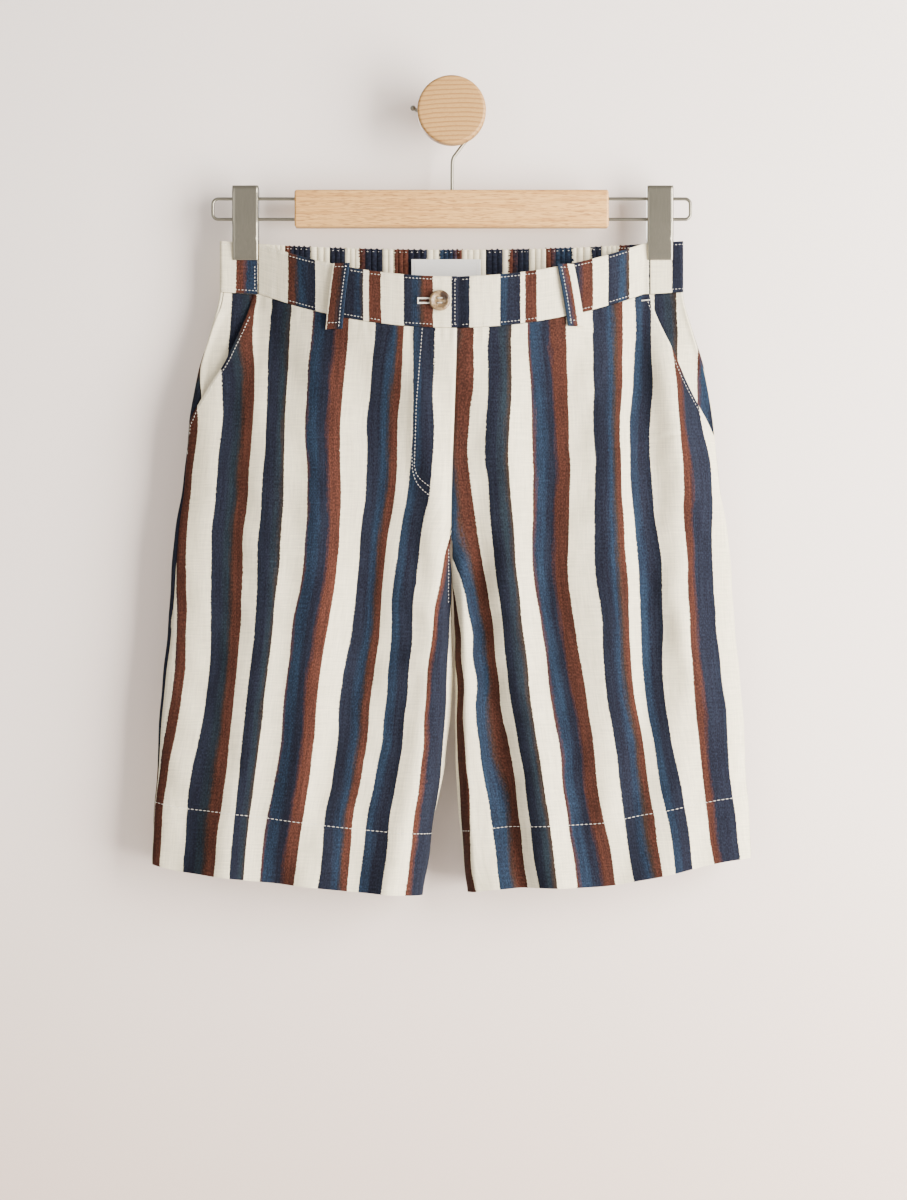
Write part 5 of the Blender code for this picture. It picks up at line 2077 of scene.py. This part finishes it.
@dataclass
class ClipHanger:
    """Wooden bar with a wire hook, wire rails and two metal clips."""

    plane: float = -22.0
    bar_length: float = 257.5
    bar_top: float = -62.8
    bar_foot: float = -93.5
    bar_thick: float = 12.0
    wire: float = 1.35
    rail_reach: float = 196.0
    rail_heights: Pair = (-69.7, -86.5)
    rail_corner: float = 4.5
    clip_width: float = 21.5
    clip_sheet: float = 1.2
    clip_places: tuple[tuple[str, float], ...] = (("right", -169.0), ("left", 171.0))
    grip: float = 3.3
    spring_height: float = -98.0
    spring_radius: float = 2.3
    hook_wire: float = 1.4
    hook_bend: float = 22.0
    hook_centre: Pair = (-1.0, -6.3)
    shank_x: float = 0.4

    def bar(self, wood: Material) -> None:
        """Wooden bar with rounded edges.

        Args:
            wood: finish of the bar.
        """
        deselect()
        height = self.bar_top - self.bar_foot
        centre = Vector((0.0, self.plane, (self.bar_top + self.bar_foot) / 2.0)) * MM
        bpy.ops.mesh.primitive_cube_add(size=1.0, location=centre)
        piece = named("bar_beech")
        piece.scale = Vector((self.bar_length, self.bar_thick, height)) * MM
        settle(piece)
        bevel(piece, 2.0, 5, 30.0)
        smooth(piece, 40.0)
        dress(piece, wood, "beech", "hanger_bar")

    def rails(self, metal: Material) -> None:
        """Wire rails, each a long loop let into the end of the bar.

        Args:
            metal: finish of the wire.
        """
        upper, lower = self.rail_heights
        for side in Side:
            start = side.value * (self.bar_length / 2.0 - 3.0)
            corner = self.rail_reach - self.rail_corner
            points = [(start, self.plane, upper)]
            for sign, centre in ((1.0, upper - self.rail_corner), (-1.0, lower + self.rail_corner)):
                angles = np.linspace(90.0, 0.0, 9) if sign > 0 else np.linspace(0.0, -90.0, 9)
                for angle in np.radians(angles):
                    points.append((side.value * (corner + self.rail_corner * math.cos(angle)), self.plane,
                                   centre + self.rail_corner * math.sin(angle)))
            points.append((start, self.plane, lower))
            piece = tube("rail_%s" % side.word, points, self.wire, 16)
            dress(piece, metal, "satin_nickel", "hanger_rail_%s" % side.word)

    def hook(self, metal: Material) -> None:
        """Wire hook with a ball at its tip.

        Args:
            metal: finish of the wire.
        """
        x = self.shank_x
        points = [(x, self.bar_top - 4.0), (x, -42.0), (x + 0.1, -39.6), (x + 0.5, -37.2),
                  (x + 1.3, -35.2), (x + 2.6, -33.4), (9.4, -25.0), (13.4, -20.6), (16.4, -17.8)]
        for angle in np.radians(np.linspace(-26.0, 152.0, 48)):
            points.append((self.hook_centre[0] + self.hook_bend * math.cos(angle),
                           self.hook_centre[1] + self.hook_bend * math.sin(angle)))
        points += [(-21.5, 2.9), (-22.8, 2.3), (-24.2, 2.0), (-25.8, 2.0), (-27.6, 2.6), (-29.2, 3.5),
                   (-30.6, 4.3), (-31.4, 4.7)]
        wire = tube("hook_wire", [(px, self.plane, pz) for px, pz in points], self.hook_wire, 16)
        deselect()
        bpy.ops.mesh.primitive_uv_sphere_add(segments=20, ring_count=12, radius=2.3 * MM,
                                             location=Vector((-31.7, self.plane, 4.8)) * MM)
        ball = named("hook_ball")
        settle(ball)
        smooth(ball)
        piece = join("hook", [wire, ball])
        dress(piece, metal, "satin_nickel", "hanger_hook")

    def clip(self, word: str, x: float, metal: Material) -> None:
        """One clip: a folded front jaw, a back jaw and a coil spring.

        Args:
            word: side of the clip.
            x: its middle.
            metal: its finish.
        """
        front = self.jaw("clip_front_%s" % word, x, -1.0, True)
        for height in self.rail_heights:
            cut(front, rod("rail_hole", self.wire + 0.3, self.clip_width + 8.0, (x, self.plane, height)))
        smooth(front, 35.0)
        dress(front, metal, "satin_nickel", "clip_%s_front_jaw" % word)
        back = self.jaw("clip_back_%s" % word, x, 1.0, False)
        smooth(back, 35.0)
        dress(back, metal, "satin_nickel", "clip_%s_back_jaw" % word)
        half = self.clip_width / 2.0 - self.clip_sheet - 0.3
        turns = 11
        points = []
        for step in range(turns * 14 + 1):
            angle = 2.0 * math.pi * step / 14.0
            along = mix(-half + 0.7, half - 0.7, step / (turns * 14.0))
            points.append((x + along, self.plane + self.spring_radius * math.cos(angle),
                           self.spring_height + self.spring_radius * math.sin(angle)))
        coil = tube("coil", points, 0.6, 8)
        pin = rod("pin", 1.2, 2.0 * half, (x, self.plane, self.spring_height), 16)
        smooth(pin)
        spring = join("spring_%s" % word, [coil, pin])
        dress(spring, metal, "satin_nickel", "clip_%s_spring" % word)

    def jaw(self, name: str, x: float, sign: float, folded: bool) -> Piece:
        """Pressed sheet of a jaw: a plate with rolled sides, and flanges back to the rails if folded.

        Args:
            name: name of the piece.
            x: middle of the clip.
            sign: -1 for the front jaw and 1 for the back jaw.
            folded: whether it has flanges.

        Returns:
            The mesh object.
        """
        rows, columns = 48, 44
        half = self.clip_width / 2.0
        fall = np.linspace(0.0, 1.0, rows + 1)
        height = mix(-59.5, -120.4, fall)
        key = np.array((-120.4, -118.4, -90.0, -62.0, -59.5))
        depth = np.interp(height, key, (self.grip + 0.7, self.grip + self.clip_sheet, 7.4, 7.6, 6.7))
        if folded:
            reach = np.interp(height, (-120.4, -117.0, -104.0, -100.5, -91.0, -64.0, -61.0, -59.5),
                              (1.0, 1.2, depth[0] - 3.6, 11.2, 13.2, 13.4, 11.0, 8.6))
        else:
            reach = np.full_like(height, 1.3)
        corner = 1.9 if folded else 1.0
        plate = half - corner
        arc = corner * math.pi / 2.0
        run = np.linspace(-1.0, 1.0, columns + 1)
        points = np.zeros((rows + 1, columns + 1, 3))
        for row in range(rows + 1):
            total = plate + arc + reach[row]
            place = np.sign(run) * np.abs(run) ** 1.15 * total
            at = np.abs(place)
            flat = at <= plate
            bend = (at > plate) & (at <= plate + arc)
            angle = np.where(bend, (at - plate) / corner, 0.0)
            side = np.where(flat, at, np.where(bend, plate + corner * np.sin(angle), half))
            back = np.where(bend, corner * (1.0 - np.cos(angle)), corner + at - plate - arc)
            back = np.where(flat, 0.0, back)
            points[row, :, 0] = x + np.sign(place) * side
            points[row, :, 1] = self.plane + sign * (depth[row] - back)
            points[row, :, 2] = height[row]
        if sign > 0:
            points = points[:, ::-1]
        return sheet_from_grid(name, points, points[..., (0, 2)], 1.0, -1.0, round_off=0.3)

    def make(self, wood: Material, metal: Material) -> None:
        """Build the whole hanger.

        Args:
            wood: finish of the bar.
            metal: finish of the rest.
        """
        self.bar(wood)
        self.rails(metal)
        self.hook(metal)
        for word, x in self.clip_places:
            self.clip(word, x, metal)


@dataclass
class WallPeg:
    """Turned wooden peg: a round disc on a stem."""

    projection: float = 45.0
    disc_radius: float = 28.0
    disc_thick: float = 16.0
    stem_radius: float = 14.0
    edge: float = 2.6

    def make(self, wood: Material) -> None:
        """Build the peg.

        Args:
            wood: its finish.
        """
        neck = self.projection - self.disc_thick
        rim, edge = self.disc_radius, self.edge
        stem = self.stem_radius
        profile = [(stem, 0.0), (stem, neck - 2.0), (stem + 0.4, neck - 0.8), (stem + 1.6, neck),
                   (rim - edge, neck)]
        for start, centre in ((-90.0, neck + edge), (0.0, self.projection - edge)):
            for angle in np.radians(np.linspace(start, start + 90.0, 8)[1 if start < 0 else 0:]):
                profile.append((rim - edge + edge * math.cos(angle), centre + edge * math.sin(angle)))
        profile.append((rim * 0.5, self.projection))
        peg = turned("peg_beech", profile, 96)
        peg.rotation_euler = (math.pi / 2.0, 0.0, 0.0)
        settle(peg)
        smooth(peg, 30.0)
        dress(peg, wood, "beech", "wall_peg")


# Stage

@dataclass
class Studio:
    """Pale wall and floor, soft lights, and the camera at the photograph's angle."""

    camera_place: Triple = (1.6, -2225.0, -399.0)
    lens: float = 80.5
    wall_size: float = 3000.0
    floor_height: float = -1300.0

    def backdrop(self) -> None:
        """Wall behind the peg, which can be seen through from its back, and a floor below. The wall's
        colour darkens towards the bottom as painted shade.
        """
        graph = Graph("wall_paint_and_shade")
        tone = graph.noise(graph.place("Object", (1.4, 1.0, 1.4)), detail=1.0)
        split = graph.node("SeparateXYZ")
        graph.link(graph.place("Object", (-1.1, -1.1, -1.1)), split.inputs[0])
        # painted shade: the wall's colour is multiplied darker and warmer towards its bottom
        low = graph.ramp(split.outputs[2], ((0.05, grey(1.0)), (0.6, (0.965, 0.935, 0.915)),
                                            (1.0, (0.85, 0.76, 0.70))))
        paint = graph.ramp(tone, ((0.3, (0.88, 0.795, 0.735)), (0.7, (0.92, 0.835, 0.775))))
        graph.paint(graph.blend(1.0, paint, low, "MULTIPLY"))
        graph.set(Roughness=0.9, Specular_IOR_Level=0.1)
        clear = graph.node("BsdfTransparent")
        either = graph.node("MixShader")
        back = graph.node("NewGeometry")
        graph.link(back.outputs["Backfacing"], either.inputs[0])
        graph.link(graph.shader.outputs[0], either.inputs[1])
        graph.link(clear.outputs[0], either.inputs[2])
        graph.link(either.outputs[0], graph.tree.nodes["Material Output"].inputs["Surface"])
        deselect()
        bpy.ops.mesh.primitive_plane_add(size=self.wall_size * MM, location=(0.0, 0.6 * MM, -0.3),
                                         rotation=(math.pi / 2.0, 0.0, 0.0))
        wall = named("stage_wall")
        settle(wall)
        wall.data.materials.append(graph.material)
        wall.visible_shadow = False
        wall.visible_diffuse = False
        wall.visible_glossy = False
        ground = Graph("floor_paint")
        grit = ground.noise(ground.place("Object", (3.0, 3.0, 3.0)), detail=2.0)
        ground.paint(ground.ramp(grit, ((0.3, (0.62, 0.59, 0.57)), (0.7, (0.66, 0.63, 0.61)))))
        ground.set(Roughness=0.8, Specular_IOR_Level=0.1)
        deselect()
        bpy.ops.mesh.primitive_plane_add(size=9.0, location=(0.0, 0.0, self.floor_height * MM))
        floor = named("stage_floor")
        settle(floor)
        floor.data.materials.append(ground.material)

    def light(self, name: str, place: Sequence[float], target: Sequence[float], size: Sequence[float],
              power: float, colour: Sequence[float]) -> None:
        """Area light that faces a target.

        Args:
            name: name of the light.
            place: where it stands, in metres.
            target: what it faces, in metres.
            size: its width and height, in metres.
            power: power in watts.
            colour: its colour.
        """
        data = bpy.data.lights.new(name, "AREA")
        data.shape = "RECTANGLE"
        data.size, data.size_y = size
        data.energy = power
        data.color = colour
        lamp = bpy.data.objects.new(name, data)
        lamp.location = place
        lamp.rotation_mode = "QUATERNION"
        lamp.rotation_quaternion = (Vector(target) - Vector(place)).to_track_quat("-Z", "Y")
        bpy.context.scene.collection.objects.link(lamp)

    def make(self) -> None:
        """Build the stage, the lights and the camera."""
        self.backdrop()
        world = bpy.data.worlds.new("studio")
        world.use_nodes = True
        sky = world.node_tree.nodes["Background"]
        sky.inputs["Color"].default_value = (1.0, 0.955, 0.925, 1.0)
        sky.inputs["Strength"].default_value = 0.70
        bpy.context.scene.world = world
        middle = (0.0, -0.02, -0.35)
        self.light("key", (1.42, -0.98, -0.50), middle, (1.1, 2.4), 212.0, (1.0, 0.955, 0.91))
        self.light("fill", (-1.5, -2.2, -0.1), middle, (1.6, 1.6), 16.0, (1.0, 0.965, 0.94))
        self.light("behind", (-0.6, 1.9, 0.5), middle, (1.4, 1.4), 42.0, (1.0, 0.97, 0.94))
        camera = bpy.data.cameras.new("camera")
        camera.lens = self.lens
        camera.sensor_width = 36.0
        eye = bpy.data.objects.new("camera", camera)
        eye.location = Vector(self.camera_place) * MM
        eye.rotation_euler = (math.pi / 2.0, 0.0, 0.0)
        bpy.context.scene.collection.objects.link(eye)
        bpy.context.scene.camera = eye


def main() -> None:
    """Dress the frame: the cloth, its sewing, the button, the hanger, the peg and the stage."""
    logging.basicConfig(level=logging.INFO, format="%(name)s: %(message)s")
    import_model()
    Studio().make()
    form = ClothForm()
    stitches = Stitches()
    linens = {Side.RIGHT: StripedLinen("striped_linen_right", RIGHT_CHART).make(),
              Side.LEFT: StripedLinen("striped_linen_left", LEFT_CHART).make()}
    thread = Thread().make()
    LegPanels(form, stitches, linens).make()
    trim = StripedLinen("striped_linen_trim", TRIM_CHART, **STRAIGHTER).make()
    PocketFacings(form, {Side.RIGHT: trim, Side.LEFT: linens[Side.LEFT]}).make()
    bands = {Side.RIGHT: StripedLinen("striped_linen_right_band", RIGHT_BAND_CHART, **STRAIGHTER).make(),
             Side.LEFT: StripedLinen("striped_linen_left_band", LEFT_BAND_CHART, **STRAIGHTER).make()}
    elastic = StripedLinen("striped_linen_elastic", BACK_BAND_CHART, **STRAIGHTER).make()
    Waistband(form, stitches, bands, elastic, trim, LabelWeave().make()).make()
    button = Button(form)
    button.make(stitches, Horn().make((button.x, button.height)), thread)
    stitches.make(thread)
    ClipHanger().make(Beech(Grain.LONG).make(), SatinNickel().make())
    WallPeg().make(Beech(Grain.END).make())


if __name__ == "__main__":
    main()
